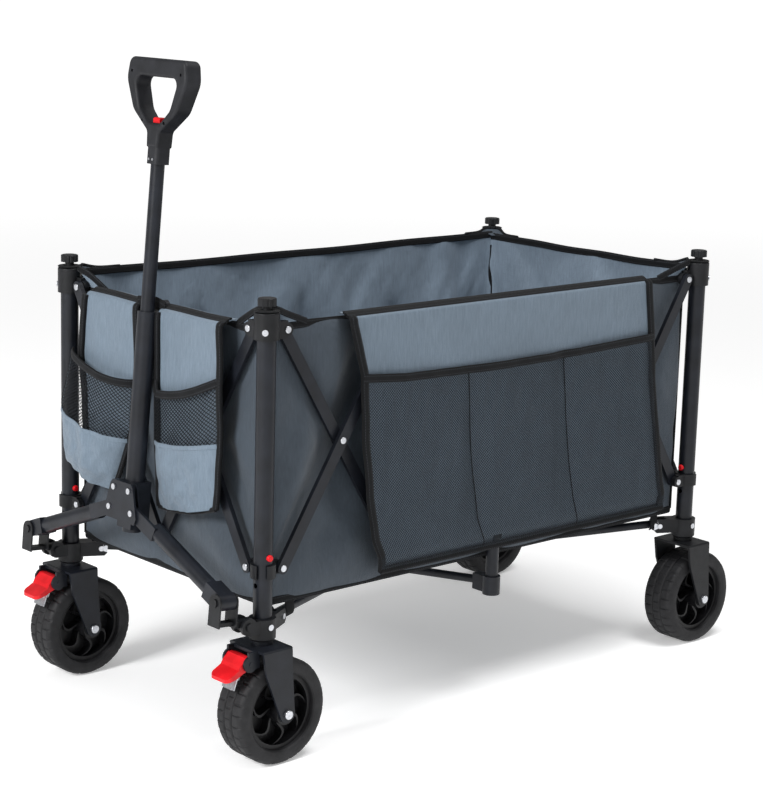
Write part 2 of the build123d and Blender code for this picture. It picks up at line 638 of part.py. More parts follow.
def make_handle():
    for name, sy in (("left", -1), ("right", 1)):
        save(f"handle_clevis_{name}", clevis(sy))
        save(f"handle_arm_{name}", arm(sy))
    save("handle_yoke", yoke())
    tube = upright(UPPER_R, LOWER_TOP - UPPER_INSIDE, GRIP_BORE)
    tube -= upright(UPPER_R - 1.5, LOWER_TOP - UPPER_INSIDE, GRIP_BORE)
    save("handle_upper_tube", [leaned(tube)])
    save("handle_grip", grip())
    button = span((TUBE_X - 8, -8, GRIP_BORE + 5), (TUBE_X + 8, 8, WINDOW_LOW + 8))
    save("handle_release_button", [leaned(fillet(button.edges().group_by(Axis.Z)[-1], 2.5))])


# ---- fabric tub ----
def panel(points, low, high):
    """Upright panel over an outline in plan."""
    return Pos(0, 0, low) * extrude(make_face(Polyline(*points, close=True)), high - low)


def make_liner():
    bx, by, t, c = LINER_X, LINER_Y, LINER_T, LINER_CUT
    walls = []
    for s in (-1, 1):
        low, high = sorted((s * by, s * (by - t)))
        walls.append(span((-bx + c, low, LINER_BOTTOM), (bx - c, high, LINER_TOP)))
        low, high = sorted((s * bx, s * (bx - t)))
        walls.append(span((low, -by + c, LINER_BOTTOM), (high, by - c, LINER_TOP)))
    for sx, sy in CORNERS.values():
        outline = ((sx * (bx - c), sy * by), (sx * bx, sy * (by - c)),
                   (sx * (bx - t), sy * (by - c)), (sx * (bx - c), sy * (by - t)))
        walls.append(panel(outline, LINER_BOTTOM, LINER_TOP))
    inner_x, inner_y = bx - t, by - t
    floor = span((-inner_x, -inner_y, LINER_BOTTOM), (inner_x, inner_y, LINER_BOTTOM + t))
    for sx, sy in CORNERS.values():
        cut = ((sx * (bx + 1), sy * (by + 1)), (sx * (bx - c - t), sy * (by + 1)), (sx * (bx + 1), sy * (by - c - t)))
        floor -= panel(cut, LINER_BOTTOM - 1, LINER_BOTTOM + 2 * t)
    save("liner", walls + [floor])
    mat_x, mat_y = inner_x - c - 3, inner_y - c - 3
    mat = span((-mat_x, -mat_y, LINER_BOTTOM + t), (mat_x, mat_y, LINER_BOTTOM + t + MAT_T))
    save("floor_mat", [fillet(mat.edges().filter_by(Axis.Z), 12.0)])


make_bars()
make_corners()
for long_side in ("left", "right"):
    middle_leg(long_side)
make_handle()
make_liner()
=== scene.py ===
import math

import bmesh
import bpy
import numpy as np
from mathutils import Matrix, Vector, noise


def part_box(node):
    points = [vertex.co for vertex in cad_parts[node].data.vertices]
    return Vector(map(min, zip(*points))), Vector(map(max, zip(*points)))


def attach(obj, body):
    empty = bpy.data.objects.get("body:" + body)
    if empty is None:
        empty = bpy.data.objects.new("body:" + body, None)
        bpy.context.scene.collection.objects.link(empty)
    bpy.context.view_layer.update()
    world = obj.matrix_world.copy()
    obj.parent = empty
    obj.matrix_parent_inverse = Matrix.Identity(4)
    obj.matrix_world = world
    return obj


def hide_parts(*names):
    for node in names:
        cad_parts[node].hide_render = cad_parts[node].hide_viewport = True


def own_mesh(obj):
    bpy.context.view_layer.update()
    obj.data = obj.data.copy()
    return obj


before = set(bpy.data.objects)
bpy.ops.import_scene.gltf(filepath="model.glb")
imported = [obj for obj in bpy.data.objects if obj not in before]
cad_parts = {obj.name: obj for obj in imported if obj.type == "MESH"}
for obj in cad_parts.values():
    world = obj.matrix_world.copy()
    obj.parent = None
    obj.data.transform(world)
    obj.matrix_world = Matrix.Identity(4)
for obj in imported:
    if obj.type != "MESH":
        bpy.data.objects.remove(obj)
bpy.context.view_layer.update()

# ---- the frame's own sizes, in millimetres ----
MM = 0.001


def box_mm(node):
    low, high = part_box(node)
    return np.array(low) / MM, np.array(high) / MM


def post_axis(corner):
    low, high = box_mm(f"corner_post_{corner}")
    return ((low + high) / 2)[:2]


POSTS = {c: post_axis(c) for c in ("front_left", "front_right", "rear_left", "rear_right")}
FRONT_X, LEFT_Y = POSTS["front_left"]
REAR_X, RIGHT_Y = POSTS["rear_right"]
LONG, SHORT = REAR_X - FRONT_X, RIGHT_Y - LEFT_Y
FOLD_X, FOLD_Y = 639.0, 319.4          # how far the far corners come in when it folds
KEEP_X, KEEP_Y = 1 - FOLD_X / LONG, 1 - FOLD_Y / SHORT
TUB_LOW, TUB_HIGH = box_mm("liner")
CELL, EAR = 217.0, 31.0                 # width of a scissor cell, and its first pivot from the post's middle
BAR_LOW, BAR_HIGH = 290.0, 640.0       # heights of the bars' lower and upper pivots


# ---- node materials ----
class Mat:
    """A material with one Principled shader and helpers that add nodes to it."""

    def __init__(self, name, **sockets):
        self.mat = bpy.data.materials.new(name)
        self.mat.use_nodes = True
        self.tree = self.mat.node_tree
        self.shader = self.tree.nodes["Principled BSDF"]
        for key, value in sockets.items():
            self.shader.inputs[key.replace("_", " ")].default_value = value
        self.bumps = None

    def put(self, socket, value):
        if hasattr(value, "links"):
            self.tree.links.new(value, socket)
        else:
            socket.default_value = value

    def node(self, kind, out=0, props=None, **inputs):
        """A new node's output. i0, i1 and so on are its inputs by number, other names are by name."""
        n = self.tree.nodes.new(kind)
        for key, value in (props or {}).items():
            setattr(n, key, value)
        for key, value in inputs.items():
            numbered = key[0] == "i" and key[1:].isdigit()
            self.put(n.inputs[int(key[1:]) if numbered else key], value)
        return n.outputs[out]

    def math(self, op, a, b=0.0, c=0.0):
        return self.node("ShaderNodeMath", props={"operation": op}, i0=a, i1=b, i2=c)

    def coords(self):
        return self.node("ShaderNodeTexCoord", out=3)

    def uv(self):
        split = self.tree.nodes.new("ShaderNodeSeparateXYZ")
        self.tree.links.new(self.node("ShaderNodeTexCoord", out=2), split.inputs[0])
        return split.outputs[0], split.outputs[1]

    def noise(self, scale, detail=3.0, rough=0.5, stretch=None):
        at = self.coords()
        if stretch:
            at = self.node("ShaderNodeMapping", i0=at, i3=stretch)
        return self.node("ShaderNodeTexNoise", i0=at, i2=scale, i3=detail, i4=rough)

    def ramp(self, value, stops):
        n = self.tree.nodes.new("ShaderNodeValToRGB")
        self.tree.links.new(value, n.inputs[0])
        while len(n.color_ramp.elements) < len(stops):
            n.color_ramp.elements.new(0.5)
        for e, (at, colour) in zip(n.color_ramp.elements, stops):
            e.position = at
            e.color = colour if hasattr(colour, "__len__") else (colour, colour, colour, 1)
        return n.outputs[0]

    def mix(self, share, a, b, blend="MIX"):
        n = self.tree.nodes.new("ShaderNodeMix")
        n.data_type, n.blend_type = "RGBA", blend
        self.put(n.inputs[0], share)
        self.put(n.inputs[6], a)
        self.put(n.inputs[7], b)
        return n.outputs[2]

    def colour(self, value):
        self.put(self.shader.inputs["Base Color"], value)

    def rough(self, value):
        self.put(self.shader.inputs["Roughness"], value)

    def bump(self, height, distance, strength=1.0):
        n = self.tree.nodes.new("ShaderNodeBump")
        n.inputs["Strength"].default_value = strength
        n.inputs["Distance"].default_value = distance
        self.put(n.inputs["Height"], height)
        if self.bumps:
            self.tree.links.new(self.bumps, n.inputs["Normal"])
        self.bumps = n.outputs[0]
        self.put(self.shader.inputs["Normal"], self.bumps)


def rgb(r, g, b):
    """Linear colour from a screen colour."""
    line = [c / 255 for c in (r, g, b)]
    return tuple(c / 12.92 if c < 0.04045 else ((c + 0.055) / 1.055) ** 2.4 for c in line) + (1.0,)


def powder_coat():
    m = Mat("powder_coat", Roughness=0.4, Specular_IOR_Level=0.24, Coat_Weight=0.03, Coat_Roughness=0.3)
    cloud = m.noise(35.0, 4.0)
    m.colour(m.mix(m.ramp(cloud, [(0.3, 0.0), (0.75, 1.0)]), rgb(15, 17, 22), rgb(26, 29, 36)))
    m.rough(m.math("MULTIPLY_ADD", m.noise(160.0, 3.0), 0.16, 0.32))
    m.bump(m.noise(1500.0, 2.0), 0.00008, 0.5)
    m.bump(m.noise(260.0, 2.0), 0.00012, 0.4)
    return m.mat


def moulded(name, dark, light, rough, grain=0.00012):
    m = Mat(name, Roughness=rough, Specular_IOR_Level=0.24)
    m.colour(m.mix(m.ramp(m.noise(48.0, 4.0), [(0.3, 0.0), (0.7, 1.0)]), dark, light))
    m.rough(m.math("MULTIPLY_ADD", m.noise(90.0, 3.0), 0.2, rough - 0.1))
    cells = m.node("ShaderNodeTexVoronoi", i0=m.coords(), Scale=1300.0)
    m.bump(cells, grain, 0.5)
    return m.mat


def zinc():
    m = Mat("zinc_plate", Metallic=1.0, Roughness=0.3)
    m.colour(m.mix(m.noise(300.0, 3.0), rgb(150, 152, 158), rgb(226, 228, 232)))
    m.rough(m.math("MULTIPLY_ADD", m.noise(700.0, 2.0), 0.3, 0.18))
    m.bump(m.noise(900.0, 3.0), 0.00006, 0.5)
    return m.mat


def rubber():
    m = Mat("tyre_rubber", Roughness=0.62, Specular_IOR_Level=0.28)
    m.colour(m.mix(m.ramp(m.noise(60.0, 5.0), [(0.3, 0.0), (0.8, 1.0)]), rgb(20, 20, 22), rgb(36, 36, 38)))
    m.rough(m.math("MULTIPLY_ADD", m.noise(200.0, 4.0), 0.25, 0.5))
    m.bump(m.noise(1100.0, 3.0), 0.00015, 0.6)
    return m.mat


YARN_PITCH = 0.0016


def woven(name, dark, light, crease=1.0):
    """Coated canvas in a fine weave, its colour and height made from UVs in metres."""
    m = Mat(name, Roughness=0.72, Specular_IOR_Level=0.35, Sheen_Weight=0.12, Sheen_Roughness=0.5)
    u, v = m.uv()
    warp_at, weft_at = m.math("DIVIDE", u, YARN_PITCH), m.math("DIVIDE", v, YARN_PITCH)
    warp = m.math("ABSOLUTE", m.math("SINE", m.math("MULTIPLY", warp_at, math.pi)))
    weft = m.math("ABSOLUTE", m.math("SINE", m.math("MULTIPLY", weft_at, math.pi)))
    cells = m.math("ADD", m.math("FLOOR", warp_at), m.math("FLOOR", weft_at))
    over = m.math("MODULO", m.math("ABSOLUTE", cells), 2.0)
    under = m.math("SUBTRACT", 1.0, over)
    height = m.math("ADD", m.math("MULTIPLY", warp, over), m.math("MULTIPLY", weft, under))
    slub = m.noise(420.0, 3.0, stretch=(1.0, 1.0, 0.12))
    tone = m.math("ADD", m.math("MULTIPLY", height, 0.5), m.math("MULTIPLY", slub, 0.5))
    base = m.mix(m.ramp(tone, [(0.25, 0.0), (0.85, 1.0)]), dark, light)
    soft = m.ramp(m.noise(9.0, 4.0), [(0.3, 0.0), (0.75, 1.0)])
    shade = m.mix(soft, (0.9, 0.9, 0.9, 1), (1.06, 1.06, 1.06, 1))
    m.colour(m.mix(1.0, base, shade, blend="MULTIPLY"))
    m.bump(height, 0.00025, 0.55)
    m.bump(m.noise(26.0, 4.0, 0.55), 0.0035 * crease, 0.5)
    m.bump(m.noise(90.0, 3.0, 0.5), 0.0008 * crease, 0.45)
    return m.mat


def netting(name, across, down, thread, dark, light):
    """Knotted diamond net: thread lines with holes between them."""
    m = Mat(name, Roughness=0.75, Specular_IOR_Level=0.16)
    u, v = m.uv()
    su = m.math("ABSOLUTE", m.math("SUBTRACT", m.math("FRACT", m.math("DIVIDE", u, across)), 0.5))
    sv = m.math("ABSOLUTE", m.math("SUBTRACT", m.math("FRACT", m.math("DIVIDE", v, down)), 0.5))
    line = m.math("ABSOLUTE", m.math("SUBTRACT", m.math("ADD", su, sv), 0.5))
    solid = m.math("LESS_THAN", line, thread)
    m.put(m.shader.inputs["Alpha"], solid)
    m.colour(m.mix(m.noise(300.0, 2.0), dark, light))
    m.bump(m.math("SUBTRACT", thread, m.math("MINIMUM", line, thread)), 0.003, 0.7)
    return m.mat


RIB_PITCH, CORD_PITCH = 0.0014, 0.0011
STITCH_OUT, STITCH_LENGTH = 0.0036, 0.0042


def webbing(name, dark, light, stitch=True):
    """Ribbed binding tape with a line of stitches near each edge. u runs along it, v across."""
    m = Mat(name, Roughness=0.8, Specular_IOR_Level=0.12, Sheen_Weight=0.04)
    u, v = m.uv()
    rib = m.math("ABSOLUTE", m.math("SINE", m.math("MULTIPLY", u, math.pi / RIB_PITCH)))
    cord = m.math("ABSOLUTE", m.math("SINE", m.math("MULTIPLY", v, math.pi / CORD_PITCH)))
    weave = m.math("ADD", m.math("MULTIPLY", rib, 0.6), m.math("MULTIPLY", cord, 0.4))
    base = m.mix(m.math("MULTIPLY", weave, m.noise(150.0, 3.0)), dark, light)
    if stitch:
        near = m.math("ABSOLUTE", m.math("SUBTRACT", m.math("ABSOLUTE", v), STITCH_OUT))
        row = m.math("LESS_THAN", near, 0.0005)
        dash = m.math("LESS_THAN", m.math("FRACT", m.math("DIVIDE", u, STITCH_LENGTH)), 0.66)
        thread = m.math("MULTIPLY", row, dash)
        base = m.mix(thread, base, rgb(44, 46, 50))
        m.bump(thread, 0.0006, 0.8)
    m.colour(base)
    m.bump(weave, 0.0004, 0.7)
    return m.mat


STEEL = powder_coat()
BLACK = moulded("moulded_black", rgb(12, 13, 15), rgb(22, 23, 26), 0.46)
GRIP = moulded("grip_black", rgb(20, 21, 24), rgb(32, 33, 37), 0.55, 0.0002)
RED = moulded("moulded_red", rgb(182, 12, 20), rgb(212, 26, 34), 0.36, 0.00006)
ZINC = zinc()
RUBBER = rubber()
HUB = moulded("hub_black", rgb(11, 11, 13), rgb(20, 20, 22), 0.42)
# Outer canvas: partly the cloth's own darker tone and partly painted shade. Its colour is set darker still so
# that every outer face, the near wall most, looks shaded.
OUTER_TONE_AND_SHADE = woven("canvas_outer_tone_and_shade", rgb(39, 46, 54), rgb(63, 73, 83))
INNER = woven("canvas_inner", rgb(86, 100, 114), rgb(125, 140, 155))
POCKET = woven("canvas_pocket", rgb(75, 88, 100), rgb(109, 124, 138))
MAT_TOP = woven("canvas_mat", rgb(56, 66, 77), rgb(84, 96, 108), crease=0.7)
NET_FINE = netting("net_fine", 0.0046, 0.0046, 0.11, rgb(22, 26, 31), rgb(48, 54, 61))
NET_WIDE = netting("net_wide", 0.0078, 0.0058, 0.105, rgb(10, 12, 14), rgb(30, 33, 38))
TAPE = webbing("binding_tape", rgb(8, 9, 10), rgb(25, 26, 29))
STRAP = webbing("strap_webbing", rgb(8, 9, 10), rgb(23, 24, 27), stitch=False)


# ---- mesh helpers ----
def make_object(name, verts, faces, uvs, mats, slots=None, angle=45.0):
    """Mesh object in metres from points in mm, with one UV per vertex in metres."""
    mesh = bpy.data.meshes.new(name)
    mesh.from_pydata([tuple(p) for p in np.asarray(verts, float) * MM], [], faces)
    layer = mesh.uv_layers.new(name="UVMap")
    uvs = np.asarray(uvs, float) * MM
    index = np.zeros(len(mesh.loops), int)
    mesh.loops.foreach_get("vertex_index", index)
    layer.data.foreach_set("uv", uvs[index].ravel())
    for m in mats:
        mesh.materials.append(m)
    if slots is not None:
        mesh.polygons.foreach_set("material_index", slots)
    mesh.polygons.foreach_set("use_smooth", [True] * len(mesh.polygons))
    mesh.update()
    mesh.set_sharp_from_angle(angle=math.radians(angle))
    obj = bpy.data.objects.new(name, mesh)
    bpy.context.scene.collection.objects.link(obj)
    return obj


def grid_normals(p):
    du, dv = np.gradient(p, axis=0), np.gradient(p, axis=1)
    n = np.cross(du, dv)
    return n / np.maximum(np.linalg.norm(n, axis=2, keepdims=True), 1e-9)


def arc_uv(p):
    """Distances along the rows and columns of a grid of points."""
    du = np.linalg.norm(np.diff(p, axis=0), axis=2).mean(axis=1)
    dv = np.linalg.norm(np.diff(p, axis=1), axis=2).mean(axis=0)
    u, v = np.concatenate([[0], np.cumsum(du)]), np.concatenate([[0], np.cumsum(dv)])
    return np.stack(np.meshgrid(u, v, indexing="ij"), axis=2)


def closed_faces(rows, cols):
    """Faces of two like grids of points, back to back, and of the rim that joins them."""
    at = np.arange(rows * cols).reshape(rows, cols)
    quads = np.stack([at[:-1, :-1], at[1:, :-1], at[1:, 1:], at[:-1, 1:]], axis=2).reshape(-1, 4)
    shift = rows * cols
    ring = list(at[:, 0]) + list(at[-1, 1:]) + list(at[-2::-1, -1]) + list(at[0, -2:0:-1])
    edge = [(a, a + shift, b + shift, b) for a, b in zip(ring, ring[1:] + ring[:1])]
    faces = list(quads) + [q[::-1] + shift for q in quads] + edge
    return [tuple(int(i) for i in f) for f in faces]


def shell(name, p, mats, thick=1.2, uv=None, face_slot=None):
    """Thin closed sheet over a grid of points. mats are its outer and inner finish."""
    p = np.asarray(p, float)
    rows, cols = p.shape[:2]
    n = grid_normals(p) * thick / 2
    verts = np.concatenate([(p + n).reshape(-1, 3), (p - n).reshape(-1, 3)])
    uv = arc_uv(p) if uv is None else uv
    uvs = np.concatenate([uv.reshape(-1, 2)] * 2)
    faces = closed_faces(rows, cols)
    count = (rows - 1) * (cols - 1)
    if face_slot is None:
        outer, inner = [0] * count, [len(mats) - 1] * count
    else:
        outer = inner = list(np.asarray(face_slot).reshape(-1))
    slots = outer + inner + [outer[0]] * (len(faces) - 2 * count)
    obj = make_object(name, verts, faces, uvs, mats, slots)
    obj["flat_mm"] = [float(uv[-1, 0, 0]), float(uv[0, -1, 1])]
    return obj


def declare(obj):
    del obj["flat_mm"]


def smooth_path(points, step=6.0):
    """Points spaced evenly along a Catmull-Rom curve through the given ones."""
    p = np.asarray(points, float)
    q = np.concatenate([[2 * p[0] - p[1]], p, [2 * p[-1] - p[-2]]])
    out = []
    for i in range(1, len(q) - 2):
        a, b, c, d = q[i - 1:i + 3]
        count = max(2, int(np.linalg.norm(c - b) / step))
        for t in np.linspace(0, 1, count, endpoint=False):
            out.append(0.5 * ((2 * b) + (c - a) * t + (2 * a - 5 * b + 4 * c - d) * t * t
                              + (3 * b - a - 3 * c + d) * t ** 3))
    out.append(p[-1])
    return np.array(out)


def tape(name, path, normal, mat=TAPE, wide=12.0, thick=3.0, squared=3.0):
    """Binding swept along a path: its face looks along normal, its width lies across the path."""
    p = np.asarray(path, float)
    tangent = np.gradient(p, axis=0)
    tangent /= np.linalg.norm(tangent, axis=1, keepdims=True)
    face = np.broadcast_to(np.asarray(normal, float), p.shape).copy()
    face -= (face * tangent).sum(axis=1, keepdims=True) * tangent
    face /= np.linalg.norm(face, axis=1, keepdims=True)
    side = np.cross(tangent, face)
    k = 14
    ring = []
    for i in range(k):
        a = math.tau * i / k
        c, s = math.cos(a), math.sin(a)
        ring.append((math.copysign(abs(c) ** (2 / squared), c) * wide / 2,
                     math.copysign(abs(s) ** (2 / squared), s) * thick / 2))
    verts = np.stack([p + side * x + face * y for x, y in ring], axis=1)
    along = np.concatenate([[0], np.cumsum(np.linalg.norm(np.diff(p, axis=0), axis=1))])
    uvs = np.array([[(d, x) for x, _ in ring] for d in along])
    last = len(p) - 1
    faces = [(i * k + j, i * k + (j + 1) % k, (i + 1) * k + (j + 1) % k, (i + 1) * k + j)
             for i in range(last) for j in range(k)]
    faces.append(tuple(reversed(range(k))))
    faces.append(tuple(last * k + j for j in range(k)))
    return make_object(name, verts.reshape(-1, 3), faces, uvs.reshape(-1, 2), [mat], angle=60.0)


def fold_x(obj, body="front_left_corner"):
    """Obj rides on a left or right front corner and gets a mesh of its own."""
    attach(obj, body)
    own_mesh(obj)


def fold_y(obj, body="front_left_corner"):
    """Obj rides on a front or rear left corner and gets a mesh of its own."""
    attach(obj, body)
    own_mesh(obj)


def bell(x, width):
    return np.exp(-(np.asarray(x, float) / width) ** 2)


def lump(a, b, seed):
    """Smooth noise over two coordinates, about -1 to 1."""
    return noise.noise(Vector((a, b, seed * 7.31)))


lump_grid = np.vectorize(lump)


# ---- tub walls ----
def bar_gap(u, z, cells):
    """How far a point of a side is from the nearest scissor bar's middle line, in mm."""
    best = np.full(np.shape(u), 1e3)
    reach = math.hypot(CELL, BAR_HIGH - BAR_LOW)
    slope = np.array([CELL, BAR_HIGH - BAR_LOW]) / reach
    for i in range(cells):
        for way, start in ((1, BAR_LOW), (-1, BAR_HIGH)):
            du, dz = u - (EAR + CELL * i), z - start
            t = np.clip((du * slope[0] + way * dz * slope[1]), 0, reach)
            away = np.hypot(du - t * slope[0], dz - way * t * slope[1])
            best = np.minimum(best, away)
    return best


def rim_height(u, length, low):
    """Height of the rim along one side: nearly straight, with a slight sag."""
    share = np.clip(np.asarray(u, float) / length, 0, 1)
    return low - 2.0 * np.sin(math.pi * share) + 0.6 * np.sin(share * 19.0)


CORNER_R = 14.0
CORNER_INSET = 0.29 * CORNER_R         # how far a round corner's middle lies inside the square one
RIM_Z = {"left": 645.0, "right": 664.0, "front": 639.0, "rear": 661.0}
HEM_Z = 232.0
MIDDLE_Z = 440.0
BAR_CLEAR = 11.0                       # cloth nearer than this to a bar's middle line lies flat behind it
OUTWARD = {"left": (0, -1, 0), "right": (0, 1, 0), "front": (-1, 0, 0), "rear": (1, 0, 0)}


def behind_bars(out, gap):
    """Keeps the cloth's bulge clear of the bars."""
    return np.minimum(out, 1.0 + np.maximum(gap - BAR_CLEAR, 0) * 0.6)


def big_folds(side, u, z, length, held):
    """The few deep folds that a side shows, outward positive, in mm."""
    slant = z - MIDDLE_Z
    if side == "left":
        above_mat = np.clip((z - 256.0) / 60.0, 0, 1)
        valley = -28.0 * bell(u - 168.0 - 0.3 * slant, 44.0) * held * above_mat
        return valley + 10.0 * bell(u - 70.0 - 0.3 * slant, 27.0) * held
    if side == "right":
        near_end = np.minimum(u, length - u)
        return (-17.0 * bell(near_end - 136.0, 30.0) + 9.0 * bell(near_end - 78.0, 26.0)) * held
    return -10.0 * bell(u - length / 2 + 0.18 * slant, 26.0) * held


def wall_grid(side, steps_u, steps_z):
    """Points of one tub wall, running from post to post, bulging between the bars."""
    long_side = side in ("left", "right")
    cells, length = (4, LONG) if long_side else (2, SHORT)
    start = TUB_LOW[0] - FRONT_X if long_side else TUB_LOW[1] - LEFT_Y
    first = start + CORNER_INSET
    u = np.linspace(first, length - first, steps_u)
    top = rim_height(u, length, RIM_Z[side])
    t = np.linspace(0, 1, steps_z)
    uu = np.repeat(u[:, None], steps_z, axis=1)
    zz = HEM_Z + (top[:, None] - HEM_Z) * t[None, :]
    gap = bar_gap(uu, zz, cells)
    ends = np.minimum(uu, length - uu) - (first - CORNER_INSET)
    seed = {"left": 1, "right": 2, "front": 3, "rear": 4}[side]
    held = (np.sin(np.pi * np.clip(t, 0, 1)) ** 0.6)[None, :]
    belly = 24.0 * (1 - bell(np.maximum(gap - 9.0, 0), 40.0)) * held
    belly *= np.clip(ends / 60.0, 0, 1)
    folds = lump_grid(uu / 75.0, zz / 160.0, seed) * 5.0
    folds += lump_grid((uu + zz) / 42.0, (uu - zz) / 150.0, seed + 9) * 3.2
    folds += lump_grid((uu - zz * 0.8) / 34.0, (uu + zz) / 170.0, seed + 21) * 2.8
    out = belly * (0.72 + 0.28 * lump_grid(uu / 120.0, zz / 120.0, seed + 5))
    out += (folds - 1.4) * held * np.clip(gap / 30.0, 0.25, 1)
    out = behind_bars(out, gap) + big_folds(side, uu, zz, length, held)
    if long_side:
        out = behind_bars(out, gap)
    corner = np.maximum(CORNER_R - ends, 0)
    out -= CORNER_R - np.sqrt(np.maximum(CORNER_R ** 2 - corner ** 2, 0)) + 1.2
    p = np.zeros(uu.shape + (3,))
    if long_side:
        p[..., 0] = FRONT_X + uu
        p[..., 1] = TUB_LOW[1] - out if side == "left" else TUB_HIGH[1] + out
    else:
        p[..., 1] = LEFT_Y + uu
        p[..., 0] = TUB_LOW[0] - out if side == "front" else TUB_HIGH[0] + out
    p[..., 2] = zz
    return p


def make_walls():
    """The tub's four walls, each with a hem and a rim in tape."""
    rides = {"left": (fold_x, "front_left_corner", 150), "right": (fold_x, "front_right_corner", 150),
             "front": (fold_y, "front_left_corner", 84), "rear": (fold_y, "rear_left_corner", 84)}
    for side, (fold, body, steps) in rides.items():
        p = wall_grid(side, steps, 60)
        if side in ("right", "front"):
            p = p[::-1]
        wall = shell(f"wall_{side}", p, [OUTER_TONE_AND_SHADE, INNER])
        hem = tape(f"hem_{side}", p[:, 0] + (0, 0, 4.0), OUTWARD[side], wide=13.0, thick=4.0)
        rim = tape(f"rim_{side}", p[:, -1] - (0, 0, 4.5), OUTWARD[side], wide=12.5, thick=4.4)
        for piece in (wall, hem, rim):
            fold(piece, body)
        declare(wall)
        if side == "left":
            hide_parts("liner")


# ---- floor and mat, in tiles ----
TILE_ROOM = 12.0                       # least distance from a folded tile to the folded tub's side

def gather(obj, low, high):
    """Works out where a floor tile would go as the wagon folds, towards the front left corner and inside the
    folded tub; the tile only gets a mesh of its own when that move is over 1 mm, and is not moved.
    """
    middle = (np.array(low) + np.array(high)) / 2 - (FRONT_X, LEFT_Y)
    least = (np.array(high) - np.array(low)) / 2 + TILE_ROOM
    room = np.array([LONG - FOLD_X, SHORT - FOLD_Y])
    goal = np.clip(middle * (KEEP_X, KEEP_Y), least, np.maximum(room - least, least))
    move = goal - middle
    reach = np.linalg.norm(move)
    if reach < 1:
        return
    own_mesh(obj)

TILES_X, TILES_Y = 8, 4


def make_floor():
    """The woven floor and the padded mat on it, tile by tile."""
    low, high = TUB_LOW[:2] + 3.0, TUB_HIGH[:2] - 3.0
    mat_low, mat_high = box_mm("floor_mat")
    xs, ys = np.linspace(low[0], high[0], TILES_X + 1), np.linspace(low[1], high[1], TILES_Y + 1)
    mxs = np.linspace(mat_low[0], mat_high[0], TILES_X + 1)
    mys = np.linspace(mat_low[1], mat_high[1], TILES_Y + 1)
    first_mat = None
    for i in range(TILES_X):
        for j in range(TILES_Y):
            a, b = (xs[i], ys[j]), (xs[i + 1], ys[j + 1])
            gx, gy = np.meshgrid(np.linspace(a[0], b[0], 13), np.linspace(a[1], b[1], 13), indexing="ij")
            sag = 1.2 * np.sin((gx - low[0]) / 26.0) * np.sin((gy - low[1]) / 31.0)
            p = np.stack([gx, gy, TUB_LOW[2] + 1.4 + 0.4 * sag], axis=2)
            uv = np.stack([gx - low[0], gy - low[1]], axis=2)
            tile = shell(f"floor_{i}_{j}", p, [INNER, OUTER_TONE_AND_SHADE], 1.2, uv)
            tile["flat_mm"] = [float(b[0] - a[0]), float(b[1] - a[1])]
            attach(tile, "front_left_corner")
            gather(tile, a, b)
            declare(tile)
            a, b = (mxs[i], mys[j]), (mxs[i + 1], mys[j + 1])
            pad = mat_tile(f"mat_{i}_{j}", a, b, mat_low, mat_high)
            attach(pad, "front_left_corner")
            gather(pad, a, b)
            first_mat = first_mat or pad
    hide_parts("floor_mat")


def mat_tile(name, a, b, low, high):
    """Quarter-board of the base mat: a soft crowned top between sewn fold lines."""
    n = 15
    gx, gy = np.meshgrid(np.linspace(a[0], b[0], n), np.linspace(a[1], b[1], n), indexing="ij")
    panel = (high[0] - low[0]) / 4
    across = np.abs(((gx - low[0]) / panel + 0.5) % 1.0 - 0.5) * panel
    edge = np.minimum(np.minimum(gx - low[0], high[0] - gx), np.minimum(gy - low[1], high[1] - gy))
    seam = np.clip(np.minimum(across, edge) / 7.0, 0, 1)
    puff = np.sqrt(1 - (1 - seam) ** 2)
    quilt = 0.35 * lump_grid(gx / 40.0, gy / 40.0, 31)
    top = low[2] + 3.4 + (4.4 + quilt) * puff
    bottom = np.full_like(top, low[2] + 0.3)
    verts = np.concatenate([np.stack([gx, gy, z], 2).reshape(-1, 3) for z in (top, bottom)])
    uv = np.stack([gx - low[0], gy - low[1]], axis=2).reshape(-1, 2)
    return make_object(name, verts, closed_faces(n, n), np.concatenate([uv, uv]), [MAT_TOP])

# ---- organiser on the near side ----
ORG_Z = np.array([251.0, 267.0, 306.0, 374.0, 448.0, 479.0, 562.0, 600.0, 640.0])
ORG_LEFT = np.array([-250.0, -256.0, -275.0, -289.0, -300.0, -301.5, -305.0, -316.0, -328.0])
ORG_RIGHT = np.array([390.0, 383.0, 372.0, 358.0, 345.0, 340.0, 331.0, 326.0, 321.0])
ORG_Y, ORG_RIM, ORG_LOW, ORG_WIDE = 262.0, 648.0, 252.0, 640.0
ORG_SEAMS = (46, 92)                   # columns of the grid that lie on the seams between pockets
POCKET_TOP = ((-303, 559), (-228, 553), (-126, 550), (-20, 549), (91, 550), (207, 554), (331, 558))


def organiser_x(share, z):
    left, right = np.interp(z, ORG_Z, ORG_LEFT), np.interp(z, ORG_Z, ORG_RIGHT)
    return left + (right - left) * share


def pocket_top(x):
    return np.interp(x, [p[0] for p in POCKET_TOP], [p[1] for p in POCKET_TOP])


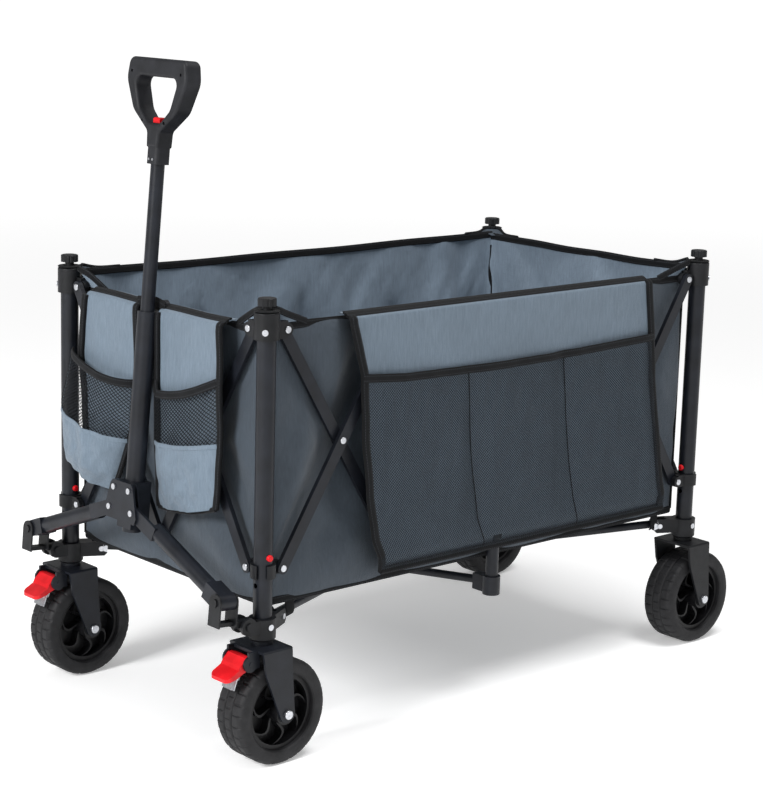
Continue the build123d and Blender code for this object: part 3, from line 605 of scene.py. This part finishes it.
def organiser_panel_grid(share):
    """The panel bends over the bars from the wall's rim, and then hangs outside them."""
    rows = []
    x = organiser_x(share, ORG_Z[-1])
    inner = TUB_LOW[1] - 1.0
    for a in np.linspace(0, math.pi / 2, 14):
        y = inner - (ORG_Y + inner) * math.sin(a)
        z = ORG_RIM + 3.0 - 7.5 * (1 - math.cos(a))
        rows.append(np.stack([x, np.full_like(x, y), np.full_like(x, z)], axis=1))
    top = ORG_RIM - 4.5
    for w in np.linspace(0.02, 1, 56):
        z = np.full_like(share, top + (ORG_LOW - top) * w)
        x = organiser_x(share, z)
        soft = math.sin(math.pi * w) ** 0.7
        ripple = lump_grid(x / 70.0, z / 120.0, 41) * 2.4
        ripple += lump_grid((x + z) / 34.0, (x - z) / 120.0, 43) * 1.6
        foot = np.clip((w - 0.93) / 0.07, 0, 1) * 12.0
        y = -ORG_Y - np.clip(2.0 + ripple * soft, -0.5, 7) * soft + foot
        rows.append(np.stack([x, y, z], axis=1))
    return np.array(rows).transpose(1, 0, 2)

def organiser_net_grid(share):
    """Three net pockets in one piece, sewn down between them and along the foot."""
    rows = []
    top = pocket_top(organiser_x(share, 555.0))
    sewn = np.maximum(bell((share - 0.335) * ORG_WIDE, 30.0), bell((share - 0.66) * ORG_WIDE, 30.0))
    ends = np.clip(np.minimum(share, 1 - share) / 0.05, 0, 1) ** 0.6
    for w in np.linspace(0, 1, 46):
        z = top + (254.0 - top) * w
        x = organiser_x(share, z)
        soft = math.sin(math.pi * min(1.0, 0.12 + 0.88 * w)) ** 0.6
        belly = (5.0 + 3.0 * lump_grid(x / 95.0, z / 110.0, 51)) * (1 - 0.8 * sewn)
        belly += lump_grid(x / 24.0, z / 130.0, 53) * 2.6
        belly += lump_grid((x + z) / 60.0, (x - z) / 200.0, 57) * 2.2
        foot = np.clip((w - 0.95) / 0.05, 0, 1) * 9.0
        y = -ORG_Y - 5.5 - np.clip(belly * ends * soft, -1.0, 12) + foot
        rows.append(np.stack([x, y, z], axis=1))
    return np.array(rows).transpose(1, 0, 2)

def make_organiser():
    """Panel with three net pockets, bound in tape, on the near side."""
    share = np.linspace(0, 1, 140)
    p, q = organiser_panel_grid(share), organiser_net_grid(share)
    panel = shell("organiser_panel", p, [OUTER_TONE_AND_SHADE, POCKET])
    net = shell("organiser_net", q, [NET_FINE], 0.5)
    way = OUTWARD["left"]
    edges = [
        tape("organiser_edge_left", p[0, 8:] + (4.0, -3.0, 0), way, wide=13.0, thick=7.0),
        tape("organiser_edge_right", p[-1, 8:] + (-4.0, -3.0, 0), way, wide=13.0, thick=7.0),
        tape("organiser_bottom", p[:, -1] + (0, -6.5, 1.0), way, wide=12.0, thick=6.0),
        tape("organiser_rim", p[:, 5] + (0, -1.0, 0.2), (0, -0.5, 1), wide=17.0, thick=4.2),
    ]
    sewn = [tape("organiser_pocket_top", q[:, 0] + (0, -0.6, -3.0), way, wide=13.0, thick=3.2)]
    for i, at in enumerate(ORG_SEAMS):
        line = q[at] + (0, -0.7, 0)
        sewn.append(tape(f"organiser_seam_{i}", line, way, mat=STRAP, wide=2.0, thick=0.9, squared=2.0))
    for piece in [panel, net] + edges + sewn:
        fold_x(piece)
    declare(panel)
    declare(net)

# ---- pockets on the front end ----
FRONT_OUT, PANEL_TOP = -488.0, 640.0


def front_rim(y):
    return rim_height(np.asarray(y, float) - LEFT_Y, SHORT, 641.0)


def edge_to_edge(first, last):
    """Y across a pocket, by the share of the way from its first edge to its last and by height.

    Each edge is a row of (height, Y) points from the foot up.
    """
    def y_of(share, z):
        a, b = (np.interp(z, *zip(*edge)) for edge in (first, last))
        return a + (b - a) * share

    return y_of

def front_panel(name, seed, bulge, y_of, band_of, seam_of, bottom_of, lean_of):
    """A flat back panel that hangs from the rim, with a bellied net pocket and a canvas foot."""
    n = 44
    share = np.linspace(0, 1, n)
    band, seam, bottom = band_of(share), seam_of(share), bottom_of(share)
    rim_y = y_of(share, PANEL_TOP)
    rim = front_rim(rim_y)
    rows = []
    for a in np.linspace(0, math.pi / 2, 9):
        x = np.full(n, TUB_LOW[0] - (TUB_LOW[0] - FRONT_OUT) * math.sin(a))
        rows.append(np.stack([x, rim_y, rim + 3.0 - 7.0 * (1 - math.cos(a))], axis=1))
    top = rim - 4.0
    for w in np.linspace(0.03, 1, 34):
        z = top + (bottom - top) * w
        y = y_of(share, z)
        ripple = lump_grid(y / 52.0, z / 80.0, 61 + seed) * 4.5 * math.sin(math.pi * w) ** 0.7
        rows.append(np.stack([FRONT_OUT - 1.0 + ripple, y, z], axis=1))
    p = np.array(rows).transpose(1, 0, 2)
    rows = []
    side = np.sin(math.pi * share) ** 0.55
    for w in np.linspace(0, 1, 40):
        z = band + (bottom - band) * w
        y = y_of(share, z) + lean_of(share, z)
        fall = np.interp(w, (0, 0.25, 0.6, 0.85, 1), (0.6, 0.8, 1.0, 0.9, 0.45))
        crumple = lump_grid(y / 30.0, z / 36.0, 71 + seed) * 7.0 * (0.25 + w)
        crumple += lump_grid((y + z) / 20.0, (y - z) / 70.0, 77 + seed) * 6.0 * w
        crumple += np.abs(lump_grid((y - z * 0.6) / 15.0, (y + z) / 60.0, 83 + seed)) * 5.0 * w
        rows.append(np.stack([FRONT_OUT - 4.0 + (crumple - bulge * fall) * side, y, z], axis=1))
    q = np.array(rows).transpose(1, 0, 2)
    back = shell(f"{name}_back", p[:, ::-1], [POCKET, POCKET])
    foot = (q[:-1, :-1, 2] + q[1:, 1:, 2]) / 2 < ((seam[:-1] + seam[1:]) / 2)[:, None]
    slots = foot[:, ::-1].astype(int)
    pocket = shell(f"{name}_pocket", q[:, ::-1], [NET_WIDE, POCKET], 0.9, face_slot=slots)
    line = np.array([column[np.argmin(np.abs(column[:, 2] - z))] for column, z in zip(q, seam)])
    line[:, 2] = seam
    line[1:-1, 0] = (line[:-2, 0] + line[1:-1, 0] + line[2:, 0]) / 3
    way = OUTWARD["front"]
    edges = [
        tape(f"{name}_edge_a", p[0, 8:] + (-3.0, 0, 0), way, wide=12.0, thick=7.0),
        tape(f"{name}_edge_b", p[-1, 5:] + (-3.0, 0, 0), way, wide=12.0, thick=7.0),
        tape(f"{name}_rim", p[:, 3] + (-1.0, 0, 0.2), (-0.5, 0, 1), wide=17.0, thick=4.2),
        tape(f"{name}_foot", p[:, -1] + (-3.0, 0, 0), way, wide=9.0, thick=6.0),
    ]
    sewn = [
        tape(f"{name}_band", q[:, 0] + (-0.8, 0, -3.0), way, wide=13.0, thick=3.4),
        tape(f"{name}_seam", line + (-0.7, 0, -2.0), way, mat=POCKET, wide=7.0, thick=2.0),
    ]
    for piece in [back, pocket] + edges + sewn:
        fold_y(piece)
    declare(back)
    declare(pocket)

def make_rim_bridge():
    """Rim tape that crosses the front's middle pivot, between the two pockets."""
    x = FRONT_OUT + 6.0
    path = smooth_path([(x, 46, 641), (x, 22, 644), (x, 0, 645.5), (x, -22, 641)], 3.0)
    piece = tape("front_rim_bridge", path, OUTWARD["front"], wide=19.0, thick=2.0)
    fold_y(piece)

def make_front_pockets():
    """Two pockets side by side. Heights are given by the share of the way across."""
    front_panel(
        "front_near", 0, 17.0,
        y_of=edge_to_edge(((330, -26), (345, -24), (440, -17), (552, -15), (660, -15)),
                          ((345, -160), (450, -171), (552, -168), (660, -164))),
        band_of=lambda s: 516.0 + 42.0 * s - 9.0 * np.sin(math.pi * s) + 22.0 * bell(s, 0.035),
        seam_of=lambda s: 440.0 + 24.0 * s - 4.0 * np.sin(math.pi * s),
        bottom_of=lambda s: 342.0 + 24.0 * s - 6.0 * np.sin(math.pi * s),
        lean_of=lambda s, z: np.interp(z, (350, 450, 540), (0.0, 6.0, 3.0)) * (1 - s),
    )
    front_panel(
        "front_far", 3, 30.0,
        y_of=edge_to_edge(((330, 150), (350, 160), (450, 176), (496, 180), (546, 184), (640, 174), (660, 174)),
                          ((330, 104), (341, 98), (442, 46), (529, 36), (640, 40), (660, 40))),
        band_of=lambda s: 546.0 - 24.0 * np.sin(math.pi * s * 0.62) - 2.0 * s,
        seam_of=lambda s: 451.0 - 22.0 * s - 5.0 * np.sin(math.pi * s),
        bottom_of=lambda s: 366.0 - 24.0 * s - 6.0 * np.sin(math.pi * s),
        lean_of=lambda s, z: np.interp(z, (330, 366, 460, 546), (40.0, 62.0, 60.0, 22.0)) * (1 - s) ** 1.3,
    )

# ---- corners of the tub ----
def make_ring(corner, px, py):
    """Flat eyelet of tape round the knob's stem."""
    n = 40
    section = ((7.9, 668.2), (8.2, 669.6), (12.0, 670.6), (17.0, 670.2),
               (18.6, 669.2), (17.8, 668.0), (8.2, 667.4))
    pts = np.array([[(px + r * math.cos(a), py + r * math.sin(a), z)
                     for a in np.linspace(0, math.tau, n, endpoint=False)] for r, z in section])
    k = len(section)
    faces = [(i * n + j, i * n + (j + 1) % n, ((i + 1) % k) * n + (j + 1) % n, ((i + 1) % k) * n + j)
             for i in range(k) for j in range(n)]
    uvs = [(j * 3.0, i * 4.0) for i in range(k) for j in range(n)]
    return make_object(f"corner_ring_{corner}", pts.reshape(-1, 3), faces, uvs, [STRAP], angle=50.0)


def resample(path, n=60):
    """The same path with a given number of points."""
    at, want = np.linspace(0, 1, len(path)), np.linspace(0, 1, n)
    return np.array([np.interp(want, at, path[:, k]) for k in range(3)]).T

def gusset_edges(px, py, ix, iy, wall_x, wall_y, za, zb):
    """A gusset's outer edge, which climbs to the post's top, and its inner edge along the walls' rims."""
    a, b = (px + ix * 84, wall_y, za), (wall_x, py + iy * 84, zb)
    outer = [a, (px + ix * 46, py + iy * 9, max(658.0, za)), (px + ix * 22, py + iy * 3, 667.5),
             (px + ix * 13, py + iy * 13, 669.0), (px + ix * 3, py + iy * 22, 667.5),
             (px + ix * 9, py + iy * 46, max(658.0, zb)), b]
    inner = [a, (px + ix * 48, wall_y, za - 1.5), (px + ix * 27, wall_y + iy * 1.5, za - 2.0),
             (px + ix * 23.5, py + iy * 23.5, min(za, zb) - 2.0),
             (wall_x + ix * 1.5, py + iy * 27, zb - 2.0), (wall_x, py + iy * 48, zb - 1.5), b]
    return resample(smooth_path(outer, 3.0)), resample(smooth_path(inner, 3.0))

def make_corner_gussets():
    """The rim climbs to each post's top: a small canvas gusset, edged with tape, tied under the knob."""
    for corner, (px, py) in POSTS.items():
        ix, iy = (1 if px < 0 else -1), (1 if py < 0 else -1)
        side, end = ("left" if iy > 0 else "right"), ("front" if ix > 0 else "rear")
        tub_x, tub_y = (TUB_LOW if ix > 0 else TUB_HIGH)[0], (TUB_LOW if iy > 0 else TUB_HIGH)[1]
        outer, inner = gusset_edges(px, py, ix, iy, tub_x + ix * 1.2, tub_y + iy * 1.2,
                                    RIM_Z[side] - 1.0, RIM_Z[end] - 1.0)
        t = np.linspace(0, 1, 9)[None, :, None]
        p = outer[:, None, :] * (1 - t) + inner[:, None, :] * t
        if ix * iy > 0:
            p = p[::-1]
        gusset = shell(f"corner_gusset_{corner}", p, [OUTER_TONE_AND_SHADE, INNER], 1.0)
        edge = tape(f"corner_edge_{corner}", outer, (-ix, -iy, 0.6), wide=10.0, thick=3.6)
        ring = make_ring(corner, px, py)
        line = [(tub_x + ix * CORNER_INSET, tub_y + iy * CORNER_INSET, z)
                for z in np.linspace(HEM_Z + 6, PANEL_TOP, 50)]
        seam = tape(f"corner_seam_{corner}", line, (-ix, -iy, 0), wide=11.0, thick=4.6)
        for piece in (gusset, edge, ring, seam):
            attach(piece, f"{corner}_corner")

PLATE_LINE = ((-47, 153.5), (-52, 148), (-56, 139), (-59.5, 129), (-61, 125))
RIVET_RINGS = ((0.3, 141.5), (2.6, 141.4), (2.9, 140.2), (2.9, 139.0))

def make_pedal_plates():
    """Zinc plate with two rivets under each brake pedal, which bites on the tyre."""
    for corner in ("front_left", "front_right"):
        px, py = POSTS[corner]
        p = np.array([[(px + x, py + y, z + (0.0 if abs(y) < 9 else 0.6)) for y in np.linspace(-14, 14, 9)]
                      for x, z in PLATE_LINE])
        pieces = [shell(f"pedal_plate_{corner}", p, [ZINC], 1.6)]
        for k, y in enumerate((-7.0, 7.0)):
            pieces.append(turned(f"pedal_rivet_{corner}_{k}", (px - 55.5, py + y), RIVET_RINGS, ZINC, 20))
        for piece in pieces:
            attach(piece, f"brake_pedal_{corner}")

def make_straps():
    """Two short tabs of webbing under the near hem."""
    y = TUB_LOW[1]
    for i, x in enumerate((FRONT_X + 62, REAR_X - 62)):
        path = smooth_path([(x, y + 4, 240), (x, y + 1, 228), (x + 3, y + 3, 214), (x + 5, y + 8, 206)], 2.0)
        tab = tape(f"hem_strap_{i}", path, OUTWARD["left"], mat=STRAP, wide=17.0, thick=2.2, squared=4.0)
        fold_x(tab)

# ---- folding brace under the floor ----
BRACE_Z, HUB_Z, ROD_R = 212.0, 152.0, 6.5
HUB_RINGS = ((0.5, -4), (20, -4), (27, -1), (31, 2), (31, 13), (18, 15),
             (18, 19), (33, 20), (33, 32), (29, 35), (0.5, 35))

def rod_piece(name, a, b):
    """Round rod of the brace from a to b."""
    return tape(name, np.linspace(a, b, 24), (0, 0, 1), mat=STEEL, wide=2 * ROD_R, thick=2 * ROD_R, squared=2.6)

def turned(name, centre, rings, mat, n=48):
    """A turned piece on a vertical axis from (radius, height) pairs."""
    pts = np.array([[(centre[0] + r * math.cos(a), centre[1] + r * math.sin(a), z)
                     for a in np.linspace(0, math.tau, n, endpoint=False)] for r, z in rings])
    k = len(rings)
    faces = [(i * n + j, i * n + (j + 1) % n, (i + 1) * n + (j + 1) % n, (i + 1) * n + j)
             for i in range(k - 1) for j in range(n)]
    faces += [tuple(reversed(range(n))), tuple((k - 1) * n + j for j in range(n))]
    uvs = [(j * 2.0, i * 5.0) for i in range(k) for j in range(n)]
    return make_object(name, pts.reshape(-1, 3), faces, uvs, [mat], angle=35.0)


def make_brace():
    """Rods from the corners and the middle legs to a hub under the floor."""
    middle = np.array([(FRONT_X + REAR_X) / 2, 0.0])
    for corner, (px, py) in POSTS.items():
        to_middle = middle - (px, py)
        far = np.linalg.norm(to_middle)
        n = to_middle / far
        pin, end = np.array([px, py]) + n * 48.0, middle - n * 30.0
        rod = rod_piece(f"brace_{corner}", (*pin, BRACE_Z), (*end, HUB_Z + 26))
        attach(rod, f"{corner}_corner")
        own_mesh(rod)
    for side, sy in (("left", -1), ("right", 1)):
        start, end = (middle[0], sy * (abs(LEFT_Y) - 32), 186), (middle[0], sy * 26, HUB_Z + 8)
        rod = rod_piece(f"brace_middle_{side}", start, end)
        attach(rod, f"middle_leg_{side}")
        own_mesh(rod)
    hub = turned("brace_hub", middle, [(r, HUB_Z + h) for r, h in HUB_RINGS], BLACK)
    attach(hub, "front_left_corner")
    move = np.array([-FOLD_X / 2, -FOLD_Y / 2])
    travel = np.linalg.norm(move)
    n = move / travel
    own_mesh(hub)

# ---- wheels ----
TYRE_R, BLOCKS = 80.0, 30
CUT = 0.07                             # half the width of a cut, as a share of a tread block
SHOULDER = ((58.0, -27.0), (60.0, -29.2), (64.0, -30.0), (69.0, -30.0), (72.5, -29.4), (75.5, -28.6),
            (77.6, -26.8), (79.0, -24.0))
HUB_R = 57.95                          # nothing of the hub lies further out than this

def make_tyre(name, centre):
    """Tyre with three rows of tread blocks, in one closed skin."""
    section = list(SHOULDER) + [(TYRE_R, v) for v in np.linspace(-22.0, 22.0, 45)]
    section += [(r, -w) for r, w in reversed(SHOULDER)] + [(57.0, 20.0), (57.0, -20.0)]
    radius, w = np.array(section).T
    run = np.cumsum(np.hypot(np.gradient(radius), np.gradient(w)))
    tread = radius > TYRE_R - 0.5
    grooves = np.where(tread, bell(np.abs(w) - 8.5, 1.7) * 2.6, 0)
    middle_row, outer_rows = (np.abs(w) < 7.5) & tread, (np.abs(w) > 9.5) & (radius > 76.5)
    pitch = math.tau / BLOCKS
    n, k = 288, len(section)
    verts, uvs = [], []
    for a in np.arange(n) / n * math.tau:
        phase = (a / pitch) % 1.0
        depth = np.maximum(grooves, 1.2 * middle_row * (min(phase, 1 - phase) < CUT))
        depth = np.maximum(depth, 1.5 * outer_rows * (abs(phase - 0.5) < CUT))
        r = radius - depth
        verts.append(np.stack([centre[0] + r * math.cos(a), centre[1] + w, centre[2] + r * math.sin(a)], axis=1))
        uvs.append(np.stack([np.full(k, a * TYRE_R), run], axis=1))
    faces = [(i * k + j, i * k + (j + 1) % k, ((i + 1) % n) * k + (j + 1) % k, ((i + 1) % n) * k + j)
             for i in range(n) for j in range(k)]
    verts, uvs = np.array(verts).reshape(-1, 3), np.array(uvs).reshape(-1, 2)
    return make_object(name, verts, faces, uvs, [RUBBER], angle=32.0)

def make_hub(name, node, centre):
    """The CAD wheel's hub without its plain tyre."""
    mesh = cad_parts[node].data.copy()
    mesh.name = name
    bm = bmesh.new()
    bm.from_mesh(mesh)
    gone = [v for v in bm.verts if math.hypot(v.co.x / MM - centre[0], v.co.z / MM - centre[2]) > HUB_R]
    bmesh.ops.delete(bm, geom=gone, context="VERTS")
    bm.to_mesh(mesh)
    bm.free()
    mesh.materials.clear()
    mesh.materials.append(HUB)
    mesh.polygons.foreach_set("material_index", [0] * len(mesh.polygons))
    obj = bpy.data.objects.new(name, mesh)
    bpy.context.scene.collection.objects.link(obj)
    return obj

def make_wheels():
    """Treaded tyres in place of the plain ones, on the CAD hubs."""
    for corner in POSTS:
        node = f"wheel_{corner}"
        low, high = box_mm(node)
        centre = (low + high) / 2
        tyre = make_tyre(f"tyre_{corner}", centre)
        hub = make_hub(f"hub_{corner}", node, centre)
        for piece, name in ((tyre, "tyre"), (hub, "black_plastic")):
            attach(piece, node)
        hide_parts(node)
        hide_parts(node)


# ---- finishes on the frame's own parts ----
HINGE = np.array([FRONT_X - 34.0, 0.0, 215.0])
LEAN = math.radians(4.7)


def paint(name, mats, test=None):
    """Gives a CAD node its finish. test picks the faces, by their middles in mm, that take the second one."""
    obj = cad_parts[name]
    mesh = obj.data
    mesh.materials.clear()
    for m in mats:
        mesh.materials.append(m)
    index = [0] * len(mesh.polygons)
    if test:
        for p in mesh.polygons:
            index[p.index] = int(test(np.array(p.center) / MM))
    mesh.polygons.foreach_set("material_index", index)
    mesh.update()


def outward(side, p):
    """How far a point is outside the middle plane of a side's bars."""
    return {"left": LEFT_Y - p[1], "right": p[1] - RIGHT_Y, "front": FRONT_X - p[0], "rear": p[0] - REAR_X}[side]


def lean_back(p):
    """A point of the handle in the handle's own upright frame."""
    x, z = p[0] - HINGE[0], p[2] - HINGE[2]
    return x * math.cos(LEAN) - z * math.sin(LEAN), p[1], x * math.sin(LEAN) + z * math.cos(LEAN)


def grip_head(p):
    """Whether a point is on one of the four small rivet heads on the grip's neck."""
    _, y, z = lean_back(p)
    return min(math.hypot(abs(y) - 4.5, z - c) for c in (643.0, 667.0)) < 2.0


def fitting_screws(corner):
    """Test for the zinc heads on a corner's fittings: head rivets, clamp screws, brace pins and axle nuts."""
    px, py = POSTS[corner]
    sx, sy = (-1 if px < 0 else 1), (-1 if py < 0 else 1)

    def test(p):
        dx, dy = p[0] - px, p[1] - py
        if 634 < p[2] < 646 and (dx * sx + dy * sy) / math.sqrt(2) > 18.7:
            return True
        if 205 < p[2] < 215 and dy * sy > 20.3 and abs(dx) < 6:
            return True
        n = np.array([-px, -py]) / math.hypot(px, py)
        along, aside = dx * n[0] + dy * n[1], abs(dx * n[1] - dy * n[0])
        if 204 < p[2] < 216 and 40 < along < 56 and aside > 13.1:
            return True
        return 70 < p[2] < 90 and abs(dy) > 40.3

    return test

def pedal_strip(corner):
    """Test for the steel strip in a brake pedal."""
    px, py = POSTS[corner]
    return lambda p: p[2] < 152.5 and p[0] > px - 51.5 and abs(p[1] - py) < 10.2

def yoke_rivets(name):
    """Test for the rivet heads on the front of the handle's yoke."""
    front = min(lean_back(np.array(v.co) / MM)[0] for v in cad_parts[name].data.vertices)
    return lambda p: lean_back(p)[0] < front + 1.9 and lean_back(p)[2] < 170


def finish_frame():
    """Powder coat on the tubes, black on the mouldings, zinc on the heads of rivets and screws."""
    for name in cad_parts:
        if name in ("liner", "floor_mat") or name.startswith("wheel_"):
            paint(name, [INNER])
        elif "_bar_" in name:
            side = name.split("_")[0]
            paint(name, [STEEL, ZINC], lambda p, s=side: abs(outward(s, p)) > 8.2)
        elif name.startswith(("corner_post", "handle_upper", "handle_arm", "middle_leg")):
            paint(name, [STEEL])
        elif name.startswith("corner_fittings"):
            paint(name, [BLACK, ZINC], fitting_screws(name.removeprefix("corner_fittings_")))
        elif name.startswith("caster_fork"):
            y = POSTS[name.removeprefix("caster_fork_")][1]
            paint(name, [STEEL, ZINC], lambda p, y=y: 70 < p[2] < 90 and abs(p[1] - y) > 40.3)
        elif name.startswith("brake_pedal"):
            paint(name, [RED, ZINC], pedal_strip(name.removeprefix("brake_pedal_")))
        elif name.startswith("lock_button") or name == "handle_release_button":
            paint(name, [RED])
        elif name == "handle_grip":
            paint(name, [GRIP, ZINC], lambda p: lean_back(p)[0] < -41.45 and grip_head(p))
        elif name == "handle_yoke":
            paint(name, [STEEL, ZINC], yoke_rivets(name))
        else:
            paint(name, [BLACK])

# ---- stage, light and camera ----
FLOOR_HALF = 120.0                     # in metres, as are the places below
FAR = 20.0                             # the floor's glow grows between 0.1 and 0.4 of this distance
LAMPS = (                              # name, place, width, watts
    ("key", (-4.0, -0.35, 2.3), 1.2, 172.0),
    ("top", (0.2, -1.1, 3.3), 1.4, 66.0),
    ("front", (-1.6, -4.2, 1.9), 1.4, 13.0),
)
LAMPS_AIM = Vector((0, 0, 0.35))
CAMERA_AT = Vector((-2.29898, -2.52422, 1.16253))
CAMERA_TURN = (41.975, -11.953, 1.560)  # yaw, pitch and roll in degrees

def make_stage():
    """Pale floor that glows more far away, so that it runs to white, under an even sky."""
    mesh = bpy.data.meshes.new("studio_floor")
    s = FLOOR_HALF
    mesh.from_pydata([(-s, -s, 0), (s, -s, 0), (s, s, 0), (-s, s, 0)], [], [(0, 1, 2, 3)])
    floor = bpy.data.objects.new("studio_floor", mesh)
    bpy.context.scene.collection.objects.link(floor)
    m = Mat("studio_paper", Roughness=0.9, Specular_IOR_Level=0.1)
    m.colour((0.97, 0.97, 0.97, 1))
    m.put(m.shader.inputs["Emission Color"], (1.0, 1.0, 1.0, 1.0))
    away = m.node("ShaderNodeVectorMath", out=1, props={"operation": "LENGTH"}, i0=m.coords())
    far = m.ramp(m.math("DIVIDE", away, FAR), [(0.1, 0.0), (0.4, 1.0)])
    m.put(m.shader.inputs["Emission Strength"], m.math("MULTIPLY_ADD", far, 0.42, 0.28))
    mesh.materials.append(m.mat)
    world = bpy.data.worlds.new("studio")
    bpy.context.scene.world = world
    world.use_nodes = True
    back = world.node_tree.nodes["Background"]
    back.inputs[0].default_value = (1.0, 1.0, 1.0, 1.0)
    back.inputs[1].default_value = 0.38

def make_lamps():
    for name, at, size, power in LAMPS:
        light = bpy.data.lights.new(name, "AREA")
        light.size, light.energy = size, power
        lamp = bpy.data.objects.new(name, light)
        lamp.location = at
        lamp.rotation_euler = (LAMPS_AIM - Vector(at)).to_track_quat("-Z", "Y").to_euler()
        bpy.context.scene.collection.objects.link(lamp)

def make_camera():
    """The photo's view point and lens."""
    yaw, pitch, roll = (math.radians(x) for x in CAMERA_TURN)
    look = Vector((math.cos(pitch) * math.sin(yaw), math.cos(pitch) * math.cos(yaw), math.sin(pitch)))
    level = look.cross(Vector((0, 0, 1))).normalized()
    up = level.cross(look)
    right = math.cos(roll) * level + math.sin(roll) * up
    top = -math.sin(roll) * level + math.cos(roll) * up
    data = bpy.data.cameras.new("camera")
    data.sensor_width, data.lens = 36.0, 95.05
    data.sensor_fit = "AUTO"
    data.clip_end = 400.0
    camera = bpy.data.objects.new("camera", data)
    matrix = Matrix((right, top, -look)).transposed().to_4x4()
    matrix.translation = CAMERA_AT
    camera.matrix_world = matrix
    bpy.context.scene.collection.objects.link(camera)
    bpy.context.scene.camera = camera

bpy.context.scene.view_settings.view_transform = "Standard"
make_camera()
make_stage()
make_lamps()
finish_frame()
make_wheels()
make_walls()
make_floor()
make_organiser()
make_rim_bridge()
make_front_pockets()
make_corner_gussets()
make_pedal_plates()
make_straps()
make_brace()
